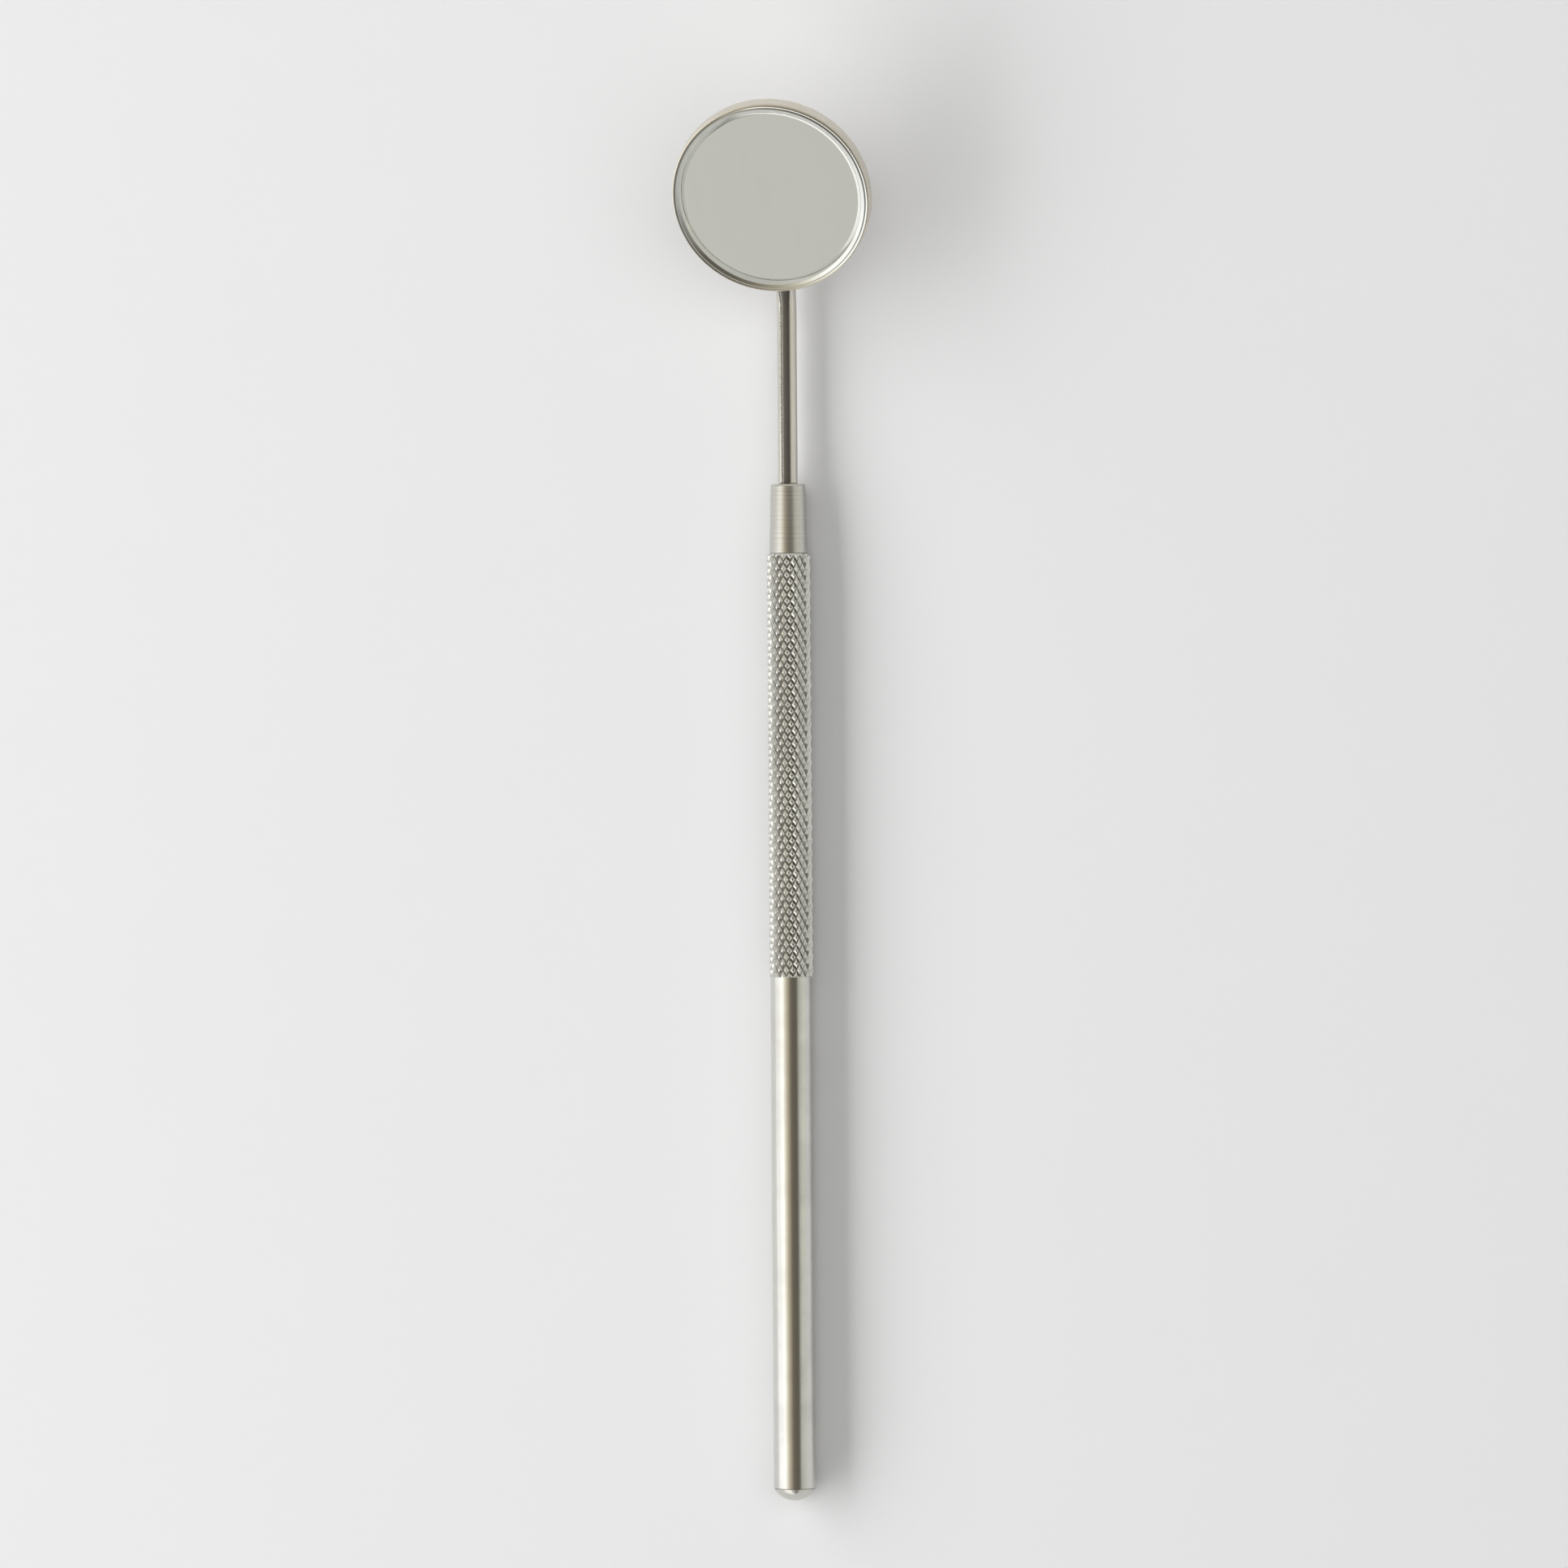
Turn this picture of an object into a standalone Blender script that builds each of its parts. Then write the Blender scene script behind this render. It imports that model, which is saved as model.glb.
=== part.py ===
"""A mouth mirror: a round mirror head on a bent stem that screws into a knurled steel handle.

It lies face up on the plane Z = 0, with the handle along Y and the head at +Y. The origin is the
middle of the space that it takes up, on that plane. Sizes are in metres.
"""

import math

import bmesh
import bpy
from mathutils import Matrix, Vector

# Handle tube: a diamond-knurled grip ahead of a plain shank.
KNURL_CREST_RADIUS = 0.00263
KNURL_DEPTH = 0.00027
KNURL_LENGTH = 0.0504
KNURL_PITCH = 0.00154
KNURL_STARTS = 18
KNURL_LEAD = 0.0003
KNURL_RUNOUT = 0.00015
SHANK_RADIUS = 0.00255
SHANK_LENGTH = 0.0612
TUBE_WALL = 0.0007

# Nose collar: a slim cone with the stem's socket, pressed into the front of the tube.
NOSE_FRONT_RADIUS = 0.00209
NOSE_BASE_RADIUS = 0.00229
NOSE_LENGTH = 0.00827
NOSE_EDGE = 0.0002
NOSE_SPIGOT_LENGTH = 0.006
SOCKET_DEPTH = 0.0076
SOCKET_CHAMFER = 0.00015
DRILL_POINT_ANGLE = math.radians(118)

# End plug: a dome pressed into the rear of the tube.
DOME_HEIGHT = 0.0015
PLUG_SPIGOT_LENGTH = 0.005
SPIGOT_CHAMFER = 0.0003

# Stem: a threaded tail (plain here, at its core size), a rod, a bend and a flattened foot.
STEM_RADIUS = 0.00118
TAIL_RADIUS = 0.00102
TAIL_LENGTH = 0.0069
TAIL_CHAMFER = 0.0002
SHOULDER_CHAMFER = 0.0001
STEM_REACH = 0.02235
BEND_RADIUS = 0.008
HEAD_TILT = math.radians(25)
FOOT_REACH = 0.0145
FOOT_PAST_CENTRE = 0.0015
FOOT_HALF_WIDTH = 0.0018
FOOT_HALF_THICKNESS = 0.00075
FLATTEN_START = 0.0042
FLATTEN_LENGTH = 0.004

# Solder round the foot, on the back of the cup.
SOLDER_HALF_WIDTH = 0.0031
SOLDER_HALF_LENGTH = 0.0048
SOLDER_THICKNESS = 0.0009
SOLDER_EDGE = 0.00008

# Mirror head, from the glass outwards and from the rim's crest down.
GLASS_RADIUS = 0.011
GLASS_THICKNESS = 0.0015
GLASS_BEVEL = 0.0001
CUSHION_THICKNESS = 0.0008
LIP_OVERLAP = 0.00042
LIP_THICKNESS = 0.00078
LIP_LAND = 0.00008
BROW_BULGE = 0.00024
CREST_WIDTH = 0.00016
GROOVE_WIDTH = 0.00005
GROOVE_DEPTH = 0.00012
MILLED_WIDTH = 0.00025
MILLED_TOP = 0.00002
FLANGE_DEPTH = 0.00027
FLANGE_STEP = 0.0002
SKIRT_WALL = 0.00043
SKIRT_LENGTH = 0.00105
CUP_WALL = 0.00035
CUP_FLOOR = 0.0004
CUP_BULGE = 0.00005
CUP_FLARE = 0.00158
CUP_CORNER = 0.0018
CUP_SHOULDER = 0.00017

# Clearances.
PRESS_GAP = 0.00005
THREAD_GAP = 0.00005
SEAT_GAP = 0.00003
GLASS_GAP = 0.00007

# Facets.
HANDLE_SIDES = 2 * KNURL_STARTS
STEM_SIDES = 20
SOLDER_SIDES = 32
HEAD_SIDES = 72
SHARP_ANGLE = math.radians(25)

# Sizes that follow from the ones above.
tube_bore_radius = SHANK_RADIUS - TUBE_WALL
tube_length = KNURL_LEAD + KNURL_LENGTH + KNURL_RUNOUT + SHANK_LENGTH
tube_front = NOSE_LENGTH + SEAT_GAP
handle_length = tube_front + tube_length + SEAT_GAP + DOME_HEIGHT
spigot_radius = tube_bore_radius - PRESS_GAP
socket_radius = TAIL_RADIUS + THREAD_GAP
axis_height = KNURL_CREST_RADIUS * math.cos(math.pi / HANDLE_SIDES)
skirt_inner_radius = GLASS_RADIUS + GLASS_GAP
skirt_radius = skirt_inner_radius + SKIRT_WALL
mouth_radius = skirt_radius + PRESS_GAP + CUP_WALL
cup_radius = mouth_radius + CUP_BULGE
floor_radius = cup_radius - CUP_CORNER
flange_radius = mouth_radius - FLANGE_STEP
mouth_depth = FLANGE_DEPTH + SEAT_GAP
widest_depth = mouth_depth + CUP_FLARE
glass_depth = LIP_THICKNESS + SEAT_GAP
cushion_depth = glass_depth + GLASS_THICKNESS + SEAT_GAP
floor_depth = cushion_depth + CUSHION_THICKNESS + SEAT_GAP
cup_depth = floor_depth + CUP_FLOOR


def clear_scene():
    for obj in list(bpy.data.objects):
        bpy.data.objects.remove(obj)


def new_collection(name):
    collection = bpy.data.collections.new(name)
    bpy.context.scene.collection.children.link(collection)
    return collection


def new_material(name, colour, roughness, metallic=1.0):
    material = bpy.data.materials.new(name)
    material.use_nodes = True
    shader = material.node_tree.nodes["Principled BSDF"]
    shader.inputs["Base Color"].default_value = (*colour, 1)
    shader.inputs["Roughness"].default_value = roughness
    shader.inputs["Metallic"].default_value = metallic
    return material


def add_empty(name, location, rotation, parent=None):
    """A reference frame that pieces are placed in."""
    empty = bpy.data.objects.new(name, None)
    empty.location = location
    empty.rotation_euler = rotation
    empty.parent = parent
    empty.empty_display_size = cup_radius
    parts.objects.link(empty)
    return empty


def add_piece(name, mesh, parent, material):
    piece = bpy.data.objects.new(name, mesh)
    piece.parent = parent
    piece.data.materials.append(material)
    parts.objects.link(piece)
    return piece


def shade(mesh):
    mesh.shade_smooth()
    mesh.set_sharp_from_angle(angle=SHARP_ANGLE)


def baked(piece):
    """Replace a piece's modifiers by the mesh that they make."""
    graph = bpy.context.evaluated_depsgraph_get()
    mesh = bpy.data.meshes.new_from_object(piece.evaluated_get(graph))
    piece.modifiers.clear()
    piece.data = mesh
    return mesh


def turned(name, profile, sides, parent, material, ring=False):
    """A solid of revolution about its own Z. The profile holds (radius, height) points and runs down
    the outer side. It ends on the axis or, for a ring, where it starts.
    """
    mesh = bpy.data.meshes.new(name)
    points = [(radius, 0, height) for radius, height in profile]
    edges = [(index, index + 1) for index in range(len(points) - 1)]
    if ring:
        edges.append((len(points) - 1, 0))
    mesh.from_pydata(points, edges, [])
    piece = add_piece(name, mesh, parent, material)
    screw = piece.modifiers.new("Turning", "SCREW")
    screw.steps = screw.render_steps = sides
    screw.use_merge_vertices = True
    screw.merge_threshold = 0.000001
    shade(baked(piece))
    return piece


def arc(centre, radii, start, end, steps):
    """(radius, height) points along an ellipse, from one angle to another in radians."""
    angles = [start + (end - start) * step / steps for step in range(steps + 1)]
    return [
        (centre[0] + radii[0] * math.cos(angle), centre[1] + radii[1] * math.sin(angle))
        for angle in angles
    ]


def ring_points(radii, height):
    """One point on each side of the handle, at its own radius."""
    turn = 2 * math.pi / len(radii)
    return [
        Vector((radius * math.cos(side * turn), radius * math.sin(side * turn), height))
        for side, radius in enumerate(radii)
    ]


def knurl_rows(front):
    """The knurled grip's rings, half a diamond apart. Crests and groove crossings take turns round each
    ring and from one ring to the next, so that four flanks fall from every crest.
    """
    rows = round(2 * KNURL_LENGTH / KNURL_PITCH)
    heights = KNURL_CREST_RADIUS, KNURL_CREST_RADIUS - KNURL_DEPTH
    return [
        ring_points(
            [heights[(side + row) % 2] for side in range(HANDLE_SIDES)],
            front - KNURL_LENGTH * row / rows,
        )
        for row in range(rows + 1)
    ]


def tube_rings():
    """The tube's rings, from the bore's front edge over the outside to the bore's rear edge."""

    def plain(radius, height):
        return ring_points([radius] * HANDLE_SIDES, height)

    front = -tube_front
    rear = front - tube_length
    knurl_front = front - KNURL_LEAD
    shank_front = knurl_front - KNURL_LENGTH - KNURL_RUNOUT
    return [
        plain(tube_bore_radius, front),
        plain(KNURL_CREST_RADIUS - KNURL_DEPTH, front),
        *knurl_rows(knurl_front),
        plain(SHANK_RADIUS, shank_front),
        plain(SHANK_RADIUS, rear),
        plain(tube_bore_radius, rear),
    ]


def split_low(corners):
    """Faces on four corners: a flat one stays whole, and a bent one folds along the diagonal whose ends
    lie nearer the axis, which keeps each groove straight.
    """
    reach = [corner.co.xy.length for corner in corners]
    fold = reach[0] + reach[2] - reach[1] - reach[3]
    if abs(fold) < SEAT_GAP / 100:
        return [corners]
    a, b, c, d = corners
    return [(a, b, d), (b, c, d)] if fold > 0 else [(a, b, c), (a, c, d)]


def build_handle_tube(handle):
    shape = bmesh.new()
    rings = [[shape.verts.new(point) for point in ring] for ring in tube_rings()]
    for ring, following in zip(rings, rings[1:] + rings[:1]):
        for side in range(HANDLE_SIDES):
            after = (side + 1) % HANDLE_SIDES
            corners = ring[side], following[side], following[after], ring[after]
            for face in split_low(corners):
                shape.faces.new(face)
    mesh = bpy.data.meshes.new("handle_tube")
    shape.to_mesh(mesh)
    shape.free()
    shade(mesh)
    add_piece("handle_tube", mesh, handle, new_material("tube_steel", (0.62, 0.61, 0.58), 0.28))


def build_nose_collar(handle):
    end = -NOSE_LENGTH - NOSE_SPIGOT_LENGTH
    drill_point = socket_radius / math.tan(DRILL_POINT_ANGLE / 2)
    profile = [
        (0, -SOCKET_DEPTH - drill_point),
        (socket_radius, -SOCKET_DEPTH),
        (socket_radius, -SOCKET_CHAMFER),
        (socket_radius + SOCKET_CHAMFER, 0),
        (NOSE_FRONT_RADIUS - NOSE_EDGE, 0),
        (NOSE_FRONT_RADIUS, -NOSE_EDGE),
        (NOSE_BASE_RADIUS, -NOSE_LENGTH),
        (spigot_radius, -NOSE_LENGTH),
        (spigot_radius, end + SPIGOT_CHAMFER),
        (spigot_radius - SPIGOT_CHAMFER, end),
        (0, end),
    ]
    steel = new_material("nose_steel", (0.6, 0.58, 0.54), 0.35)
    turned("nose_collar", profile, HANDLE_SIDES, handle, steel)


def build_end_plug(handle):
    dome_radius = (SHANK_RADIUS**2 + DOME_HEIGHT**2) / (2 * DOME_HEIGHT)
    dome_centre = -SEAT_GAP - DOME_HEIGHT + dome_radius
    dome_start = -math.acos(SHANK_RADIUS / dome_radius)
    profile = [
        (0, PLUG_SPIGOT_LENGTH),
        (spigot_radius - SPIGOT_CHAMFER, PLUG_SPIGOT_LENGTH),
        (spigot_radius, PLUG_SPIGOT_LENGTH - SPIGOT_CHAMFER),
        (spigot_radius, -SEAT_GAP),
        *arc((0, dome_centre), (dome_radius, dome_radius), dome_start, -math.pi / 2, 6),
    ]
    steel = new_material("plug_steel", (0.62, 0.61, 0.58), 0.25)
    plug = turned("end_plug", profile, HANDLE_SIDES, handle, steel)
    plug.location.z = -tube_front - tube_length


def foot_section(reach, half_width, half_thickness):
    """A section of the stem past its bend, with its top side along the back of the cup."""
    lift = STEM_RADIUS - half_thickness
    along = STEM_REACH + reach * math.cos(HEAD_TILT) - lift * math.sin(HEAD_TILT)
    rise = reach * math.sin(HEAD_TILT) + lift * math.cos(HEAD_TILT)
    return along, rise, HEAD_TILT, half_width, half_thickness


def bend_sections(steps=6):
    start = STEM_REACH - BEND_RADIUS * math.tan(HEAD_TILT / 2)
    sections = []
    for step in range(steps + 1):
        tilt = HEAD_TILT * step / steps
        along = start + BEND_RADIUS * math.sin(tilt)
        rise = BEND_RADIUS * (1 - math.cos(tilt))
        sections.append((along, rise, tilt, STEM_RADIUS, STEM_RADIUS))
    return sections


def flattening_sections(steps=5):
    """The rod going over into the foot, smoothly at both ends."""
    sections = []
    for step in range(steps + 1):
        share = step / steps
        blend = share * share * (3 - 2 * share)
        half_width = STEM_RADIUS + (FOOT_HALF_WIDTH - STEM_RADIUS) * blend
        half_thickness = STEM_RADIUS + (FOOT_HALF_THICKNESS - STEM_RADIUS) * blend
        reach = FLATTEN_START + FLATTEN_LENGTH * share
        sections.append(foot_section(reach, half_width, half_thickness))
    return sections


def tip_sections(steps=5):
    """The foot's round end."""
    start = FOOT_REACH + FOOT_PAST_CENTRE - FOOT_HALF_WIDTH
    sections = []
    for step in range(steps):
        angle = math.pi / 2 * step / (steps - 0.5)
        half_width = FOOT_HALF_WIDTH * math.cos(angle)
        reach = start + FOOT_HALF_WIDTH * math.sin(angle)
        sections.append(foot_section(reach, half_width, FOOT_HALF_THICKNESS))
    return sections


def stem_sections():
    """(distance along, rise, tilt, half width, half thickness) from the tail to the foot's tip."""

    def straight(along, radius):
        return along, 0, 0, radius, radius

    return [
        straight(-TAIL_LENGTH, TAIL_RADIUS - TAIL_CHAMFER),
        straight(-TAIL_LENGTH + TAIL_CHAMFER, TAIL_RADIUS),
        straight(SEAT_GAP, TAIL_RADIUS),
        straight(SEAT_GAP, STEM_RADIUS - SHOULDER_CHAMFER),
        straight(SEAT_GAP + SHOULDER_CHAMFER, STEM_RADIUS),
        *bend_sections(),
        *flattening_sections(),
        *tip_sections(),
    ]


def loft(name, sections, sides, grow=0):
    """A closed solid through oval sections along the stem, grown all round for a clearance."""
    shape = bmesh.new()
    rings = []
    for along, rise, tilt, half_width, half_thickness in sections:
        to_place = Matrix.Translation((0, along, rise)) @ Matrix.Rotation(tilt, 4, "X")
        ring = []
        for side in range(sides):
            angle = 2 * math.pi * side / sides
            across = (half_width + grow) * math.cos(angle)
            up = (half_thickness + grow) * math.sin(angle)
            ring.append(shape.verts.new(to_place @ Vector((across, 0, up))))
        rings.append(ring)
    for ring, following in zip(rings, rings[1:]):
        for side in range(sides):
            after = (side + 1) % sides
            shape.faces.new((ring[side], ring[after], following[after], following[side]))
    shape.faces.new(rings[0])
    shape.faces.new(rings[-1])
    bmesh.ops.recalc_face_normals(shape, faces=shape.faces)
    mesh = bpy.data.meshes.new(name)
    shape.to_mesh(mesh)
    shape.free()
    shade(mesh)
    return mesh


def build_stem(mirror_unit):
    mesh = loft("stem", stem_sections(), STEM_SIDES)
    add_piece("stem", mesh, mirror_unit, new_material("stem_steel", (0.66, 0.64, 0.6), 0.12))


def foot_cutter(mirror_unit):
    """The stem's foot with the solder's clearance round it."""
    mesh = loft("foot_cutter", [*flattening_sections(), *tip_sections()], STEM_SIDES, SEAT_GAP)
    cutter = bpy.data.objects.new("foot_cutter", mesh)
    cutter.parent = mirror_unit
    cutter.hide_render = True
    cutter.display_type = "WIRE"
    cutters.objects.link(cutter)
    return cutter


def build_solder_fillet(mirror_unit, head):
    """A lens of solder on the back of the cup, which the foot is sunk in."""
    dome = SOLDER_HALF_WIDTH, SOLDER_THICKNESS - SOLDER_EDGE
    profile = [(0, 0), (SOLDER_HALF_WIDTH, 0), *arc((0, -SOLDER_EDGE), dome, 0, -math.pi / 2, 4)]
    solder = new_material("solder", (0.58, 0.57, 0.54), 0.4)
    fillet = turned("solder_fillet", profile, SOLDER_SIDES, head, solder)
    stretch = SOLDER_HALF_LENGTH / SOLDER_HALF_WIDTH
    fillet.data.transform(Matrix.Diagonal((1, stretch, 1, 1)))
    fillet.location.y = FOOT_PAST_CENTRE + 2 * SOLDER_THICKNESS - SOLDER_HALF_LENGTH
    fillet.location.z = -cup_depth - SEAT_GAP
    cut = fillet.modifiers.new("Foot", "BOOLEAN")
    cut.operation = "DIFFERENCE"
    cut.object = foot_cutter(mirror_unit)


def cup_side(inset, bottom):
    """The cup's side from the middle of its bottom up to its mouth, inset by the wall."""
    corner = CUP_CORNER - inset, bottom - widest_depth
    side = arc((floor_radius, -widest_depth), corner, -math.pi / 2, 0, 5)
    steps = 3
    for step in range(1, steps + 1):
        share = step / steps
        side.append((cup_radius - inset - CUP_BULGE * share**2, -widest_depth + CUP_FLARE * share))
    return [(0, -bottom), *side]


def build_mirror_cup(head):
    inside = cup_side(CUP_WALL, floor_depth)
    outside = cup_side(0, cup_depth)
    outside[-1] = (mouth_radius, -mouth_depth - CUP_SHOULDER)
    outside.append((mouth_radius - CUP_SHOULDER * 0.3, -mouth_depth - CUP_SHOULDER * 0.3))
    outside.append((mouth_radius - CUP_SHOULDER, -mouth_depth))
    steel = new_material("cup_steel", (0.6, 0.58, 0.53), 0.3)
    turned("mirror_cup", inside + outside[::-1], HEAD_SIDES, head, steel)


def brow(lip, crest, steps=3):
    """The lip's polished slope, bowed outwards between the glass and the crest."""
    bulge = Vector((crest[1] - lip[1], lip[0] - crest[0])).normalized() * -2 * BROW_BULGE
    middle = (Vector(lip) + Vector(crest)) / 2 + bulge
    points = []
    for step in range(steps + 1):
        share = step / steps
        points.append(Vector(lip).lerp(middle, share).lerp(middle.lerp(Vector(crest), share), share))
    return [(point.x, point.y) for point in points]


def build_rim_ring(head):
    """The bezel: a lip over the glass, a level crest, a milled edge and a skirt in the cup's mouth."""
    lip_radius = GLASS_RADIUS - LIP_OVERLAP
    groove_radius = flange_radius - MILLED_WIDTH
    crest_radius = groove_radius - GROOVE_WIDTH
    skirt_bottom = LIP_THICKNESS + SKIRT_LENGTH
    profile = [
        *brow((lip_radius, -LIP_THICKNESS + LIP_LAND), (crest_radius - CREST_WIDTH, 0)),
        (crest_radius, 0),
        (groove_radius, -GROOVE_DEPTH),
        (flange_radius, -MILLED_TOP),
        (flange_radius, -FLANGE_DEPTH),
        (skirt_radius, -FLANGE_DEPTH),
        (skirt_radius, -skirt_bottom),
        (skirt_inner_radius, -skirt_bottom),
        (skirt_inner_radius, -LIP_THICKNESS),
        (lip_radius, -LIP_THICKNESS),
    ]
    steel = new_material("rim_steel", (0.66, 0.65, 0.62), 0.2)
    turned("rim_ring", profile, HEAD_SIDES, head, steel, ring=True)


def disc_profile(radius, top, thickness, bevel):
    return [
        (0, -top),
        (radius - bevel, -top),
        (radius, -top - bevel),
        (radius, -top - thickness + bevel),
        (radius - bevel, -top - thickness),
        (0, -top - thickness),
    ]


def build_mirror_glass(head):
    profile = disc_profile(GLASS_RADIUS, glass_depth, GLASS_THICKNESS, GLASS_BEVEL)
    silvered = new_material("silvered_glass", (0.9, 0.91, 0.9), 0.02)
    turned("mirror_glass", profile, HEAD_SIDES, head, silvered)


def build_cushion_disc(head):
    profile = disc_profile(floor_radius, cushion_depth, CUSHION_THICKNESS, GLASS_BEVEL)
    board = new_material("cushion_board", (0.45, 0.33, 0.22), 0.9, metallic=0)
    turned("cushion_disc", profile, HEAD_SIDES, head, board)


def head_centre():
    """(distance along, rise) of the rim crest's centre from the nose's front, on the handle's axis."""
    lift = STEM_RADIUS + SEAT_GAP + cup_depth
    along = STEM_REACH + FOOT_REACH * math.cos(HEAD_TILT) - lift * math.sin(HEAD_TILT)
    rise = FOOT_REACH * math.sin(HEAD_TILT) + lift * math.cos(HEAD_TILT)
    return along, rise


def nose_place():
    """Where the nose's front lies along Y, with the origin midway along the mirror."""
    reaches = [
        radius * math.cos(HEAD_TILT) - height * math.sin(HEAD_TILT)
        for radius, height in cup_side(0, cup_depth)
    ]
    far_end = head_centre()[0] + max(reaches)
    return (handle_length - far_end) / 2


def build_mouth_mirror():
    nose_front = (0, nose_place(), axis_height)
    facet_down = math.pi / HANDLE_SIDES
    along_y = Matrix.Rotation(-math.pi / 2, 4, "X") @ Matrix.Rotation(facet_down, 4, "Z")
    handle = add_empty("handle_axis", nose_front, along_y.to_euler())
    mirror_unit = add_empty("mirror_unit", nose_front, (0, 0, 0))
    head = add_empty("head_plane", (0, *head_centre()), (HEAD_TILT, 0, 0), mirror_unit)
    build_handle_tube(handle)
    build_nose_collar(handle)
    build_end_plug(handle)
    build_stem(mirror_unit)
    build_solder_fillet(mirror_unit, head)
    build_mirror_cup(head)
    build_rim_ring(head)
    build_mirror_glass(head)
    build_cushion_disc(head)


clear_scene()
parts = new_collection("mouth_mirror")
cutters = new_collection("cutters")
build_mouth_mirror()
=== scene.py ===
"""A mouth mirror on a pale table, as the photograph shows it.

It lies face up, its handle along Y and its head at +Y. Every piece is made where its solid is, and
sizes are in metres.
"""

import math

import bmesh
import bpy
from mathutils import Matrix, Vector, noise


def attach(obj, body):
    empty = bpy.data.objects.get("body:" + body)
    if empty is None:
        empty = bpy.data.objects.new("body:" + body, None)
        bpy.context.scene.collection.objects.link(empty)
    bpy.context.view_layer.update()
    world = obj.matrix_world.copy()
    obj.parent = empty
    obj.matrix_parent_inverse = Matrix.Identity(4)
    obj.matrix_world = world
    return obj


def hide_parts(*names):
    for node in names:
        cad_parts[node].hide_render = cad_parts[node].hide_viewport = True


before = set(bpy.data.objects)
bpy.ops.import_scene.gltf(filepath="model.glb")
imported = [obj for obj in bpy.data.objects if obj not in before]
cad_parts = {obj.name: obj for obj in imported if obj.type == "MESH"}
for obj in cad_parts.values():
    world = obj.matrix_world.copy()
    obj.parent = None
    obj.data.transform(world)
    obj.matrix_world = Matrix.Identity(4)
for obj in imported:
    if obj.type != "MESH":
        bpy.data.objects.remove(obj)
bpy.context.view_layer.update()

# Handle tube.
KNURL_CREST_RADIUS = 0.00263
KNURL_DEPTH = 0.00027
KNURL_LENGTH = 0.0504
KNURL_ROWS = 65
KNURL_STARTS = 18
KNURL_LEAD = 0.0003
KNURL_RUNOUT = 0.00015
KNURL_END_STEP = 0.00003
KNURL_FIRST_ANGLE = math.radians(5)
# Lines across a diamond as shares of its width, and how deep each lies as a share of the groove.
DIAMOND_LINES = [-0.5, -0.15, 0, 0.15, 0.5]
DIAMOND_FALLS = [1, 0.08, 0, 0.08, 1]
SECOND_GROOVE_SHARE = 0.92
WELD_DISTANCE = 2e-6
SHANK_RADIUS = 0.00255
SHANK_LENGTH = 0.0612
SHANK_EVEN_FROM = 0.002
BORE_RADIUS = 0.00185
TUBE_EDGE = 0.00006
TURNED_SIDES = 96

# Nose collar.
NOSE_FRONT_RADIUS = 0.00209
NOSE_BASE_RADIUS = 0.00229
NOSE_LENGTH = 0.00827
NOSE_EDGE = 0.00013
NOSE_EDGE_EASE = 0.00016
NOSE_BASE_BREAK = 0.0003
NOSE_BASE_DROP = 0.00001
NOSE_BREAK_EASE = 0.00008
NOSE_BASE_EASE = 0.00005
NOSE_SPIGOT_LENGTH = 0.006
SPIGOT_RADIUS = 0.0018
SPIGOT_CHAMFER = 0.0003
SOCKET_RADIUS = 0.00107
SOCKET_DEPTH = 0.0076
SOCKET_CHAMFER = 0.00015
SOCKET_THREAD_DEPTH = 0.00012
SOCKET_DRILL_TIP = 0.00064

# End plug.
DOME_HEIGHT = 0.0015
PLUG_SPIGOT_LENGTH = 0.005
# Its small edge, as (below the shank's radius, past the base).
PLUG_EDGE = [(0.00005, 0), (0.00001, 0.00004)]
DOME_STEPS = 22

# Stem.
STEM_RADIUS = 0.00118
THREAD_CORE_RADIUS = 0.0009
THREAD_RIDGE = 0.00013
THREAD_PITCH = 0.0004
THREAD_TURNS = 14.5
THREAD_START = -0.0005
TAIL_LENGTH = 0.0069
TAIL_CHAMFER = 0.0002
NECK_START = 0.0006
NECK_FULL = 0.0004
NECK_DEPTH = 0.00008
# The edge where the rod starts, as (past the collar, below the rod's radius).
ROD_EDGE = [(0, 0.0001), (0.00004, 0.00003), (0.00012, 0)]
STEM_REACH = 0.02235
BEND_RADIUS = 0.008
HEAD_TILT = math.radians(25)
FOOT_REACH = 0.0145
FOOT_PAST_CENTRE = 0.0015
FOOT_HALF_WIDTH = 0.0018
FOOT_HALF_THICKNESS = 0.00075
FLATTEN_START = 0.0042
FLATTEN_LENGTH = 0.004
STEM_SIDES = 56
BEND_STEPS = 14
FLATTEN_STEPS = 14
TIP_STEPS = 11
TIP_LAST_STEP = 11.4
TIP_THINNING = 0.25
# The sides of the painted dark reflection along the rod's top and the painted highlight streak in
# it, as angles round the rod from its top.
PAINTED_REFLECTION_LEFT = math.radians(-33)
PAINTED_HIGHLIGHT_ANGLE = math.radians(-18)
PAINTED_REFLECTION_RIGHT = math.radians(26)

# Solder under the head.
SOLDER_HALF_WIDTH = 0.0031
SOLDER_HALF_LENGTH = 0.0048
SOLDER_THICKNESS = 0.0009
SOLDER_MIDDLE = FOOT_PAST_CENTRE + 2 * SOLDER_THICKNESS - SOLDER_HALF_LENGTH
SOLDER_EDGE = 0.00002
SOLDER_CLIMB = 0.0004
SOLDER_CLIMB_REACH = 0.00035
SOLDER_LUMP = 0.00005
SOLDER_LUMP_SCALE = 900
SOLDER_LUMP_SEED = 3.7
SOLDER_SIDES = 72
SOLDER_RINGS = 22

# Mirror head: radii from its axis, and depths from the rim's crest.
HEAD_SIDES = 168
GLASS_RADIUS = 0.011
GLASS_TOP = 0.00081
GLASS_BOTTOM = 0.00231
GLASS_BEVEL = 0.00012
GLASS_BEVEL_EASE = 0.00003
GLASS_GROUND_WIDTH = 0.00022
RIM_SIDES = 252
LIP_RADIUS = 0.01046
LIP_BOTTOM = 0.000805
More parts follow.
